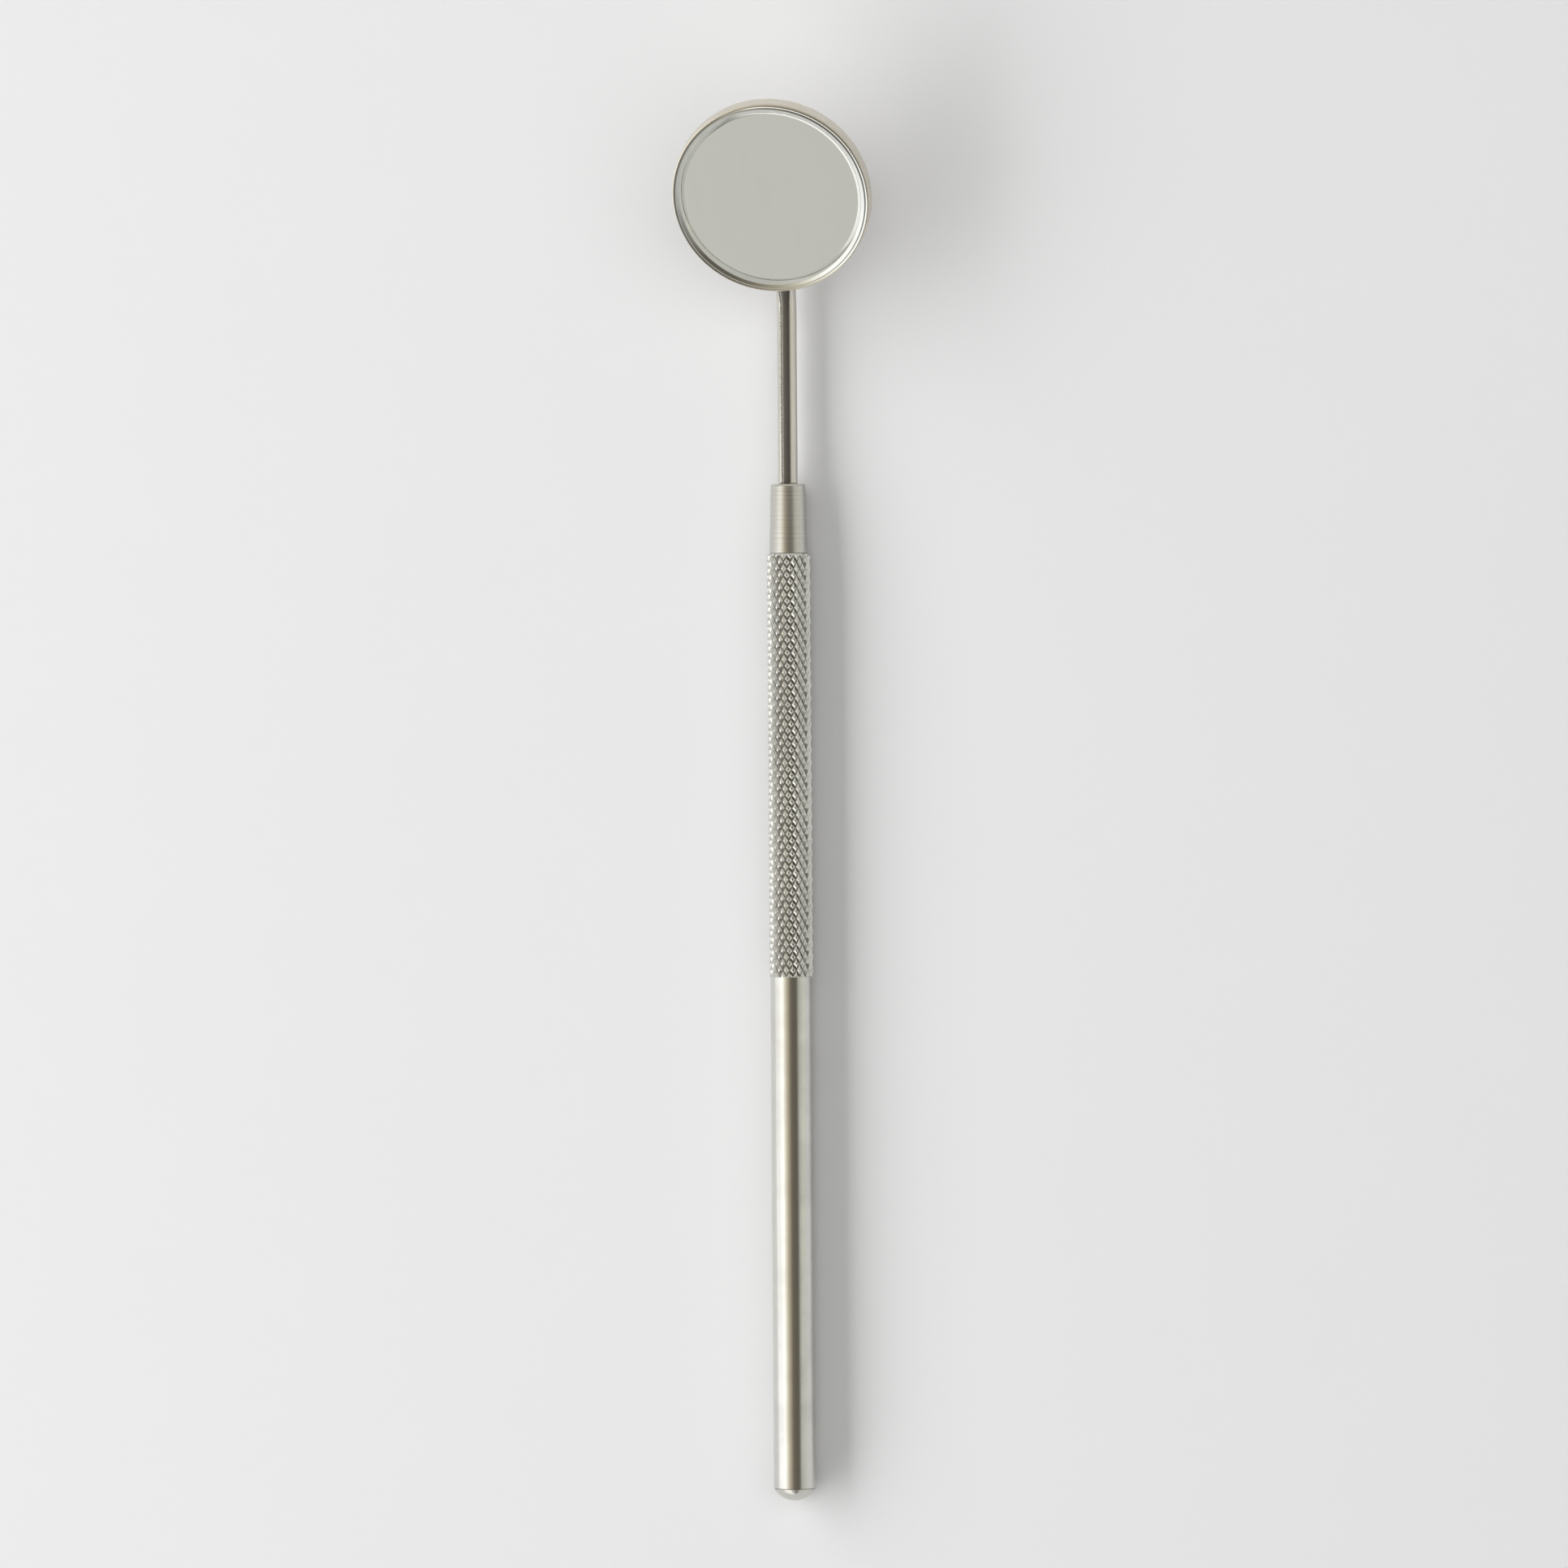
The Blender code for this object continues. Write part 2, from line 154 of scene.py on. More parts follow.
# (radius, depth) from the lip up to the crest.
LIP_SLOPE = [
    (0.01064, 0.00052),
    (0.01086, 0.000265),
    (0.010885, 0.00024),
    (0.01092, 0.000212),
    (0.01097, 0.00018),
    (0.01106, 0.00013),
    (0.01116, 0.00008),
    (0.01124, 0.000033),
]
CREST_INNER_RADIUS = 0.01131
CREST_RADIUS = 0.0114
CREST_EASE = 0.00001
GROOVE_RADIUS = 0.01145
GROOVE_DEPTH = 0.00012
FLANGE_RADIUS = 0.0117
MILLED_TOP = 0.00003
FLANGE_BOTTOM = 0.00027
FLANGE_FALL = (GROOVE_DEPTH - MILLED_TOP) / (FLANGE_RADIUS - GROOVE_RADIUS)
SKIRT_INNER_RADIUS = 0.01107
SKIRT_RADIUS = 0.0115
SKIRT_BOTTOM = 0.00183
TOOTH_COUNT = 240
TOOTH_CUT = 0.00007
TOOTH_FOOT = -0.00002
# A tooth's blunt shoulder, as shares of its cut and of half its width.
TOOTH_SHOULDER = 0.8, 0.45
CUP_RADIUS = 0.01194
CUP_WIDEST = 0.00188
CUP_FLARE = 0.00158
CUP_BULGE = 0.00005
CUP_CORNER = 0.0018
CUP_SHOULDER = 0.00017
CUP_CENTRE_SHARE = 0.4
CUP_CORNER_STEPS = 16
CUP_FLARE_STEPS = 9
CUP_SHOULDER_STEPS = 5
CUP_WALL = 0.00035
CUP_FLOOR_TOP = 0.00317
CUP_BOTTOM = 0.00357
SEAT_GAP = 0.00003

# Places in the model's frame.
NOSE_FRONT = Vector((0, 0.03832144, 0.00261999))
HEAD_LIFT = STEM_RADIUS + SEAT_GAP + CUP_BOTTOM
HEAD_CENTRE = NOSE_FRONT + Vector(
    (
        0,
        STEM_REACH + FOOT_REACH * math.cos(HEAD_TILT) - HEAD_LIFT * math.sin(HEAD_TILT),
        FOOT_REACH * math.sin(HEAD_TILT) + HEAD_LIFT * math.cos(HEAD_TILT),
    )
)
ON_HANDLE = Matrix.Translation(NOSE_FRONT) @ Matrix.Rotation(-math.pi / 2, 4, "X")
ON_HEAD = Matrix.Translation(HEAD_CENTRE) @ Matrix.Rotation(HEAD_TILT, 4, "X")
TUBE_FRONT = -NOSE_LENGTH - SEAT_GAP
KNURL_FRONT = TUBE_FRONT - KNURL_LEAD
KNURL_REAR = KNURL_FRONT - KNURL_LENGTH
SHANK_FRONT = KNURL_REAR - KNURL_RUNOUT
TUBE_REAR = SHANK_FRONT - SHANK_LENGTH

# Camera.
PHOTO_PIXELS = 1932
PIXELS_PER_METRE = 10270
CAMERA_DISTANCE = 1.0
CAMERA_SIDE = math.radians(10.5)
CAMERA_LEAN = math.radians(0.41)
SENSOR_MILLIMETRES = 36
FRAMED_POINT = Vector((-0.00075, 0.00239, NOSE_FRONT.z))

# The table, and the lights on it: name, direction, distance, width, height, strength and colour.
TABLE_SIZE = 3
DAYLIGHT = (0.995, 0.998, 1.005)
SOFTBOXES = [
    ("long_window", (-0.84, -0.04, 0.48), 1.3, 3.4, 0.8, 3.8, DAYLIGHT),
    ("skylight", (-0.65, 0.04, 0.75), 1.4, 3.2, 1.6, 0.42, DAYLIGHT),
    ("ceiling_fill", (0.45, 0.05, 1), 1.5, 2.0, 2.0, 1.16, (1, 0.997, 0.985)),
]

# The room that the metal reflects. Its bands are (degrees from overhead towards +X, colour): one
# over the handle, and one lower down towards -Y. The wall behind the head is at +Y.
ROOM_PEAK = 1.7
ROOM_BAND = [
    (-90, (1.13, 1.13, 1.1)),
    (-75, (1.22, 1.22, 1.19)),
    (-62, (1.36, 1.36, 1.33)),
    (-50, (1.6, 1.59, 1.55)),
    (-39, (1.56, 1.54, 1.47)),
    (-30, (1.2, 1.15, 1.0)),
    (-21, (0.79, 0.73, 0.59)),
    (-12, (0.54, 0.48, 0.37)),
    (-3, (0.36, 0.315, 0.235)),
    (6, (0.228, 0.2, 0.152)),
    (18, (0.163, 0.148, 0.118)),
    (33, (0.163, 0.148, 0.121)),
    (41, (0.303, 0.287, 0.257)),
    (50, (0.59, 0.58, 0.527)),
    (60, (0.72, 0.73, 0.66)),
    (80, (0.836, 0.836, 0.733)),
    (89.5, (0.9, 0.9, 0.8)),
]
FRONT_BAND = [
    (-90, (1.2, 1.2, 1.2)),
    (-60, (1.6, 1.6, 1.6)),
    (-45, (1.6, 1.6, 1.58)),
    (-36, (1.25, 1.24, 1.2)),
    (-27, (0.58, 0.58, 0.545)),
    (8, (0.555, 0.555, 0.525)),
    (22, (0.22, 0.215, 0.2)),
    (42, (0.2, 0.195, 0.18)),
    (56, (0.64, 0.64, 0.61)),
    (89.5, (0.8, 0.8, 0.76)),
]
BACK_WALL = (0.72, 0.72, 0.68)
BACK_WALL_SHARE = 0.9
FRONT_STARTS, FRONT_FULL = math.radians(-19), math.radians(-35)
BACK_STARTS, BACK_FULL = math.radians(7), math.radians(24)


# ---------------------------------------------------------------- node trees


def feed(tree, socket, value):
    """Links an input to a value that is an output, or else sets it."""
    if isinstance(value, bpy.types.NodeSocket):
        tree.links.new(value, socket)
    else:
        socket.default_value = value


def node(tree, kind, inputs=None, **settings):
    """A new node, with its settings, and each input either linked or set."""
    made = tree.nodes.new(kind)
    for name, value in settings.items():
        setattr(made, name, value)
    for socket, value in (inputs or {}).items():
        feed(tree, made.inputs[socket], value)
    return made


def sums(tree, operation, *values):
    """The result of a Math node on numbers or sockets."""
    inputs = dict(enumerate(values))
    return node(tree, "ShaderNodeMath", inputs, operation=operation).outputs[0]


def share_between(tree, value, low, high):
    """0 where value is below low, 1 above high, and a smooth ramp between them."""
    inputs = {"Value": value, "From Min": low, "From Max": high}
    return node(tree, "ShaderNodeMapRange", inputs, interpolation_type="SMOOTHSTEP").outputs[0]


def mixed(tree, inputs):
    """The colour from A to B by Factor."""
    made = node(tree, "ShaderNodeMix", data_type="RGBA")
    for socket in made.inputs:
        if socket.name in inputs and socket.enabled:
            feed(tree, socket, inputs[socket.name])
    return next(socket for socket in made.outputs if socket.enabled)


# ---------------------------------------------------------------- finishes


class Finish:
    """A material that is being made: its tree, its shader and its place on the piece."""

    def __init__(self, name, colour, roughness, metallic=1.0):
        self.material = bpy.data.materials.new(name)
        self.material.use_nodes = True
        self.tree = self.material.node_tree
        self.shader = self.tree.nodes["Principled BSDF"]
        self.shader.inputs["Base Color"].default_value = (*colour, 1)
        self.shader.inputs["Roughness"].default_value = roughness
        self.shader.inputs["Metallic"].default_value = metallic
        self.place = node(self.tree, "ShaderNodeTexCoord").outputs["Object"]

    def centred(self, location, rotation):
        """From here on, patterns are laid out about this place on the piece."""
        inputs = {"Vector": self.place, "Location": location, "Rotation": rotation}
        self.place = node(self.tree, "ShaderNodeMapping", inputs, vector_type="TEXTURE").outputs[0]

    def sums(self, operation, *values):
        return sums(self.tree, operation, *values)

    def parts(self):
        """The place's X, Y and Z."""
        return node(self.tree, "ShaderNodeSeparateXYZ", {0: self.place}).outputs

    def from_axis(self):
        """(radius, height) of a point about the local Z axis."""
        across, along, height = self.parts()
        squares = [self.sums("MULTIPLY", part, part) for part in (across, along)]
        return self.sums("SQRT", self.sums("ADD", *squares)), height

    def vector(self, x, y, z):
        return node(self.tree, "ShaderNodeCombineXYZ", {0: x, 1: y, 2: z}).outputs[0]

    def grain(self, scale, detail=2.0, place=None, rough=0.5, distortion=0.0):
        inputs = {
            "Vector": place or self.place,
            "Scale": scale,
            "Detail": detail,
            "Roughness": rough,
            "Distortion": distortion,
        }
        return node(self.tree, "ShaderNodeTexNoise", inputs).outputs["Fac"]

    def rings(self, scale, detail, rough):
        """The grain of a lathe's cut, which runs round the local Z axis."""
        radius, height = self.from_axis()
        return self.grain(scale, detail, self.vector(radius, 0.0, height), rough)

    def stretched(self, x, y, z):
        """The place, scaled along each axis, for a grain that runs one way."""
        inputs = {"Vector": self.place, "Scale": (x, y, z)}
        return node(self.tree, "ShaderNodeMapping", inputs).outputs[0]

    def share(self, value, low, high):
        return share_between(self.tree, value, low, high)

    def mix(self, share, first, second):
        inputs = {"Factor": share, "A": (*first, 1) if isinstance(first, tuple) else first}
        inputs["B"] = (*second, 1) if isinstance(second, tuple) else second
        return mixed(self.tree, inputs)

    def between(self, share, low, high):
        """A number that goes from low to high with a share."""
        inputs = {"Value": share, "To Min": low, "To Max": high}
        return node(self.tree, "ShaderNodeMapRange", inputs).outputs[0]

    def colour(self, socket):
        feed(self.tree, self.shader.inputs["Base Color"], socket)

    def roughness(self, socket):
        feed(self.tree, self.shader.inputs["Roughness"], socket)

    def metallic(self, socket):
        feed(self.tree, self.shader.inputs["Metallic"], socket)

    def relief(self, *layers):
        """Bumps, as (height, distance) layers one on the other."""
        normal = None
        for height, distance in layers:
            inputs = {"Height": height, "Distance": distance}
            if normal:
                inputs["Normal"] = normal
            normal = node(self.tree, "ShaderNodeBump", inputs).outputs[0]
        feed(self.tree, self.shader.inputs["Normal"], normal)


def along_the_handle(finish):
    """Lays the finish's patterns out about the handle's axis."""
    finish.centred(NOSE_FRONT, (-math.pi / 2, 0, 0))


def on_the_head(finish):
    """Lays the finish's patterns out about the head's axis."""
    finish.centred(HEAD_CENTRE, (HEAD_TILT, 0, 0))


def tube_finish():
    """Ground and polished steel, darker and duller in patches low in the knurl's grooves."""
    steel = Finish("ground_tube_steel", (0.64, 0.63, 0.59), 0.14)
    along_the_handle(steel)
    across, along, height = steel.parts()
    around = steel.sums("MULTIPLY", steel.sums("ARCTAN2", along, across), SHANK_RADIUS)
    unrolled = steel.vector(around, steel.sums("MULTIPLY", height, 0.25), 0.0)
    speckle = steel.grain(9000, 3)
    orange_peel = steel.grain(3200, 3)
    drawn = steel.grain(14000, 3, unrolled)
    clouds = steel.grain(260, 4)
    groove = node(steel.tree, "ShaderNodeAttribute", attribute_name="groove").outputs["Fac"]
    patchy = steel.between(steel.share(steel.grain(900, 3), 0.3, 0.7), 0.35, 1.0)
    # Darker, duller steel in patches low in the knurl's grooves.
    dark_in_grooves = steel.sums("MULTIPLY", steel.share(groove, 0.7, 1.0), patchy)
    bright = steel.mix(steel.share(clouds, 0.35, 0.7), (0.69, 0.685, 0.65), (0.63, 0.62, 0.59))
    steel.colour(steel.mix(dark_in_grooves, bright, (0.1, 0.09, 0.075)))
    worn = steel.between(steel.share(clouds, 0.3, 0.75), 0.1, 0.19)
    steel.roughness(steel.sums("ADD", worn, steel.sums("MULTIPLY", dark_in_grooves, 0.25)))
    steel.relief((orange_peel, 4.0e-6), (speckle, 1.2e-6), (drawn, 1.0e-6))
    return steel.material


def nose_finish():
    """Bare turned steel: the tool's rings show as fine lines."""
    steel = Finish("turned_nose_steel", (0.62, 0.605, 0.57), 0.24)
    along_the_handle(steel)
    wobble = steel.sums("MULTIPLY", steel.grain(300, 1), 0.00006)
    ring_place = steel.vector(0.0, 0.0, steel.sums("ADD", steel.parts()[2], wobble))
    coarse = steel.grain(6400, 3, ring_place, 0.7)
    fine = steel.grain(24000, 2, ring_place, 0.6)
    clouds = steel.grain(500, 3)
    steel.colour(
        steel.mix(steel.share(coarse, 0.3, 0.75), (0.64, 0.625, 0.59), (0.52, 0.5, 0.46))
    )
    steel.roughness(steel.between(clouds, 0.2, 0.3))
    steel.relief((coarse, 1.5e-5), (fine, 2.5e-6), (steel.grain(12000, 2), 8e-7))
    return steel.material


def plug_finish():
    """The tube's steel with the rings of the tool that turned the dome."""
    steel = Finish("turned_plug_steel", (0.64, 0.63, 0.59), 0.16)
    along_the_handle(steel)
    rings = steel.rings(7000, 3, 0.6)
    clouds = steel.grain(420, 3)
    steel.colour(steel.mix(clouds, (0.66, 0.65, 0.61), (0.58, 0.57, 0.53)))
    steel.roughness(steel.between(clouds, 0.12, 0.22))
    steel.relief((rings, 2.5e-6), (steel.grain(9000, 2), 8e-7))
    return steel.material


def stem_finish():
    """Polished plate over drawn rod, and along its top a painted dark reflection with a grainy
    edge and a painted highlight streak, duller and less metallic there.
    """
    plate = Finish("polished_stem_plate", (0.68, 0.655, 0.6), 0.07)
    along_the_handle(plate)
    drawn = plate.grain(16000, 2, plate.stretched(1, 1, 0.06))
    speckle = plate.grain(11000, 3)
    clouds = plate.grain(600, 3)
    across, down, _ = plate.parts()
    # Painted dark reflection: a band fixed along the rod's top by its angle round the rod, with a
    # grainy edge and a lighter painted highlight streak, duller and less metallic than the plate.
    lean = plate.sums("ARCTAN2", across, plate.sums("MULTIPLY", down, -1.0))
    fray = plate.sums("MULTIPLY", plate.sums("SUBTRACT", plate.grain(7000, 3), 0.5), 0.35)
    frayed = plate.sums("ADD", lean, fray)
    left_edge = plate.share(frayed, PAINTED_REFLECTION_LEFT, PAINTED_REFLECTION_LEFT + 0.09)
    right_edge = plate.share(lean, PAINTED_REFLECTION_RIGHT, PAINTED_REFLECTION_RIGHT - 0.05)
    painted_highlight_start = plate.share(frayed, PAINTED_HIGHLIGHT_ANGLE - 0.1, PAINTED_HIGHLIGHT_ANGLE)
    painted_highlight_end = plate.share(frayed, PAINTED_HIGHLIGHT_ANGLE + 0.09, PAINTED_HIGHLIGHT_ANGLE + 0.01)
    painted_highlight = plate.sums("MULTIPLY", painted_highlight_start, painted_highlight_end)
    painted_reflection = plate.sums("MULTIPLY", left_edge, right_edge)
    painted_reflection = plate.sums("SUBTRACT", painted_reflection, plate.sums("MULTIPLY", painted_highlight, 0.34))
    painted_reflection = plate.sums("MULTIPLY", painted_reflection, plate.between(speckle, 0.86, 1.08))
    painted_reflection = plate.sums("MINIMUM", plate.sums("MAXIMUM", painted_reflection, 0.0), 1.0)
    bright = plate.mix(clouds, (0.7, 0.675, 0.62), (0.63, 0.6, 0.54))
    # The painted dark reflection darkens the base colour here.
    plate.colour(plate.mix(painted_reflection, bright, (0.072, 0.063, 0.05)))
    worn = plate.between(plate.share(clouds, 0.35, 0.75), 0.05, 0.1)
    plate.roughness(plate.sums("ADD", worn, plate.sums("MULTIPLY", painted_reflection, 0.3)))
    plate.metallic(plate.between(painted_reflection, 1.0, 0.25))
    plate.relief((drawn, 7e-7), (speckle, 1.1e-6))
    return plate.material


def rim_finish():
    """Polished plate with the lathe's rings on its crest and slopes."""
    plate = Finish("polished_rim_plate", (0.67, 0.67, 0.645), 0.1)
    on_the_head(plate)
    rings = plate.rings(11000, 3, 0.6)
    speckle = plate.grain(9000, 2)
    clouds = plate.grain(700, 3)
    plate.colour(plate.mix(clouds, (0.69, 0.695, 0.67), (0.62, 0.62, 0.59)))
    plate.roughness(plate.between(plate.share(clouds, 0.3, 0.7), 0.07, 0.14))
    plate.relief((rings, 1.6e-6), (speckle, 9e-7))
    return plate.material


def cup_finish():
    """Spun steel: satin, with rings round the axis and light scuffs."""
    steel = Finish("spun_cup_steel", (0.6, 0.54, 0.46), 0.34)
    on_the_head(steel)
    rings = steel.rings(5200, 4, 0.65)
    scuffs = steel.share(steel.grain(2600, 4, steel.stretched(1, 0.12, 0.6)), 0.62, 0.74)
    clouds = steel.grain(380, 4)
    steel.colour(steel.mix(clouds, (0.76, 0.715, 0.63), (0.67, 0.62, 0.53)))
    rough = steel.between(steel.share(clouds, 0.3, 0.7), 0.24, 0.36)
    steel.roughness(steel.sums("ADD", rough, steel.sums("MULTIPLY", scuffs, 0.1)))
    steel.relief((rings, 4e-6), (steel.grain(8000, 2), 8e-7))
    return steel.material


def mirror_finish():
    """Silvered glass: a clear reflection, faint wipe marks and specks, and a paler ground edge."""
    silver = Finish("silvered_mirror_glass", (0.885, 0.885, 0.855), 0.012)
    on_the_head(silver)
    radius = silver.from_axis()[0]
    wipes = silver.share(silver.grain(420, 4, silver.stretched(1, 0.2, 1), 0.6), 0.5, 0.8)
    specks = silver.share(silver.grain(4200, 1), 0.84, 0.88)
    edge = silver.share(radius, GLASS_RADIUS - GLASS_GROUND_WIDTH, GLASS_RADIUS - GLASS_BEVEL)
    face = silver.mix(wipes, (0.89, 0.89, 0.86), (0.87, 0.87, 0.835))
    specked = silver.mix(specks, face, (0.7, 0.7, 0.67))
    silver.colour(silver.mix(edge, specked, (0.62, 0.64, 0.58)))
    smeared = silver.between(wipes, 0.008, 0.03)
    silver.roughness(silver.sums("ADD", smeared, silver.sums("MULTIPLY", edge, 0.25)))
    return silver.material


def solder_finish():
    """Dull tin solder, frozen in soft ripples with flux stains."""
    tin = Finish("dull_solder", (0.57, 0.56, 0.53), 0.36)
    on_the_head(tin)
    ripples = tin.grain(1500, 3, distortion=0.6)
    stains = tin.share(tin.grain(900, 4), 0.52, 0.7)
    tin.colour(tin.mix(stains, (0.6, 0.59, 0.565), (0.42, 0.385, 0.32)))
    tin.roughness(tin.between(tin.grain(2500, 3), 0.27, 0.5))
    tin.relief((ripples, 2.2e-5), (tin.grain(14000, 2), 1.5e-6))
    return tin.material


def board_finish():
    """Grey-brown pressed board with short fibres."""
    board = Finish("cushion_board", (0.45, 0.33, 0.22), 0.9, metallic=0.0)
    fibres = board.grain(2400, 5, board.stretched(1, 0.3, 1), 0.7)
    board.colour(board.mix(fibres, (0.52, 0.4, 0.28), (0.34, 0.24, 0.16)))
    board.relief((fibres, 3e-5))
    return board.material


def table_finish():
    """Pale matt paper with a barely visible tooth."""
    paper = Finish("pale_table", (0.79, 0.8, 0.82), 0.7, metallic=0.0)
    paper.shader.inputs["Specular IOR Level"].default_value = 0.2
    tooth = paper.grain(2500, 4)
    paper.colour(paper.mix(paper.grain(60, 3), (0.788, 0.788, 0.788), (0.778, 0.778, 0.778)))
    paper.relief((tooth, 6e-6))
    return paper.material


# ---------------------------------------------------------------- shapes


def eased(corners, steps=4):
    """A turned profile. A corner given as (radius, height, ease) is rounded over that length."""
    points = []
    for index, corner in enumerate(corners):
        here = Vector(corner[:2])
        if len(corner) < 3:
            points.append(here)
            continue
        before = Vector(corners[index - 1][:2]) - here
        after = Vector(corners[(index + 1) % len(corners)][:2]) - here
        start = here + before.normalized() * min(corner[2], before.length * 0.48)
        end = here + after.normalized() * min(corner[2], after.length * 0.48)
        for step in range(steps + 1):
            share = step / steps
            points.append(start.lerp(here, share).lerp(here.lerp(end, share), share))
    return [(point.x, point.y) for point in points]


def arc(centre, radii, start, end, steps):
    """(radius, height) points along an ellipse."""
    angles = [start + (end - start) * step / steps for step in range(steps + 1)]
    return [
        (centre[0] + radii[0] * math.cos(angle), centre[1] + radii[1] * math.sin(angle))
        for angle in angles
    ]


def turns_round(sides):
    """Angles that divide a full turn evenly."""
    return [2 * math.pi * side / sides for side in range(sides)]


def skin(shape, rows, sides):
    """Faces from each row of corners to the next. A row can also be a single corner."""
    for row, following in zip(rows, rows[1:]):
        for side in range(sides):
            after = (side + 1) % sides
            corners = [row[side % len(row)], row[after % len(row)]]
            corners += [following[after % len(following)], following[side % len(following)]]
            corners = list(dict.fromkeys(corners))
            if len(corners) > 2:
                shape.faces.new(corners)


def turned(profile, sides, place, ring=False):
    """A closed solid of revolution. The profile ends on the axis or, for a ring, at its start."""
    shape = bmesh.new()
    rows = []
    for radius, height in profile:
        if radius == 0:
            rows.append([shape.verts.new(place @ Vector((0, 0, height)))])
            continue
        rows.append([])
        for turn in turns_round(sides):
            corner = Vector((radius * math.cos(turn), radius * math.sin(turn), height))
            rows[-1].append(shape.verts.new(place @ corner))
    skin(shape, rows + rows[:1] if ring else rows, sides)
    bmesh.ops.recalc_face_normals(shape, faces=shape.faces)
    return shape


def plain_mesh(shape, name):
    mesh = bpy.data.meshes.new(name)
    shape.to_mesh(mesh)
    shape.free()
    return mesh


def smooth_mesh(shape, name, sharp=30):
    """A mesh that is shaded smooth, apart from edges sharper than so many degrees."""
    mesh = plain_mesh(shape, name)
    mesh.shade_smooth()
    mesh.set_sharp_from_angle(angle=math.radians(sharp))
    return mesh


def add_object(name, mesh, material):
    piece = bpy.data.objects.new(name, mesh)
    mesh.materials.clear()
    mesh.materials.append(material)
    bpy.context.scene.collection.objects.link(piece)
    return piece


def fit(name, mesh, material, body, node_name):
    """Puts a finished piece in the place of its solid."""
    piece = add_object(name, mesh, material)
    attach(piece, body)
    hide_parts(node_name)


# ---------------------------------------------------------------- repeated forms


def node_form(name, inputs):
    """A Geometry Nodes tree with its named inputs: (tree, their outputs, sockets by name)."""
    tree = bpy.data.node_groups.new(name, "GeometryNodeTree")
    sockets = {}
    for label, kind in inputs.items():
        sockets[label] = tree.interface.new_socket(label, in_out="INPUT", socket_type=kind)
    tree.interface.new_socket("Geometry", in_out="OUTPUT", socket_type="NodeSocketGeometry")
    return tree, node(tree, "NodeGroupInput").outputs, sockets


def close_form(tree, geometry, material):
    """Ends the tree with real faces that carry the material."""
    real = node(tree, "GeometryNodeRealizeInstances", {"Geometry": geometry}).outputs[0]
    inputs = {"Geometry": real, "Material": material}
    coated = node(tree, "GeometryNodeSetMaterial", inputs).outputs[0]
    node(tree, "NodeGroupOutput", {"Geometry": coated})


def grown(name, seed_mesh, tree, sockets, values):
    """The plain mesh that the tree makes from a seed mesh."""
    holder = bpy.data.objects.new(name, seed_mesh)
    bpy.context.scene.collection.objects.link(holder)
    grower = holder.modifiers.new(name, "NODES")
    grower.node_group = tree
    for label, value in values.items():
        grower[sockets[label].identifier] = value
    graph = bpy.context.evaluated_depsgraph_get()
    mesh = bpy.data.meshes.new_from_object(holder.evaluated_get(graph))
    bpy.data.objects.remove(holder)
    return mesh


def diamond_tile():
    """One diamond of the knurl, unrolled: X is the angle round the handle as a share of a diamond,
    Y the rows along it, and Z how deep it lies, from 0 at the crest to 1 in the groove.
    """
    tile = bmesh.new()
    grid = []
    for along, fall in zip(DIAMOND_LINES, DIAMOND_FALLS):
        row = []
        for across, other_fall in zip(DIAMOND_LINES, DIAMOND_FALLS):
            depth = max(fall * SECOND_GROOVE_SHARE, other_fall)
            row.append(tile.verts.new(((along + across) / 2, along - across, depth)))
        grid.append(row)
    last = len(grid) - 1
    for row in range(last):
        for column in range(last):
            a, b = grid[row][column], grid[row + 1][column]
            c, d = grid[row + 1][column + 1], grid[row][column + 1]
            if row == column:
                tile.faces.new((a, b, c))
                tile.faces.new((a, c, d))
            elif row + column == last - 1:
                tile.faces.new((a, b, d))
                tile.faces.new((b, c, d))
            else:
                tile.faces.new((a, b, c, d))
    return plain_mesh(tile, "diamond")


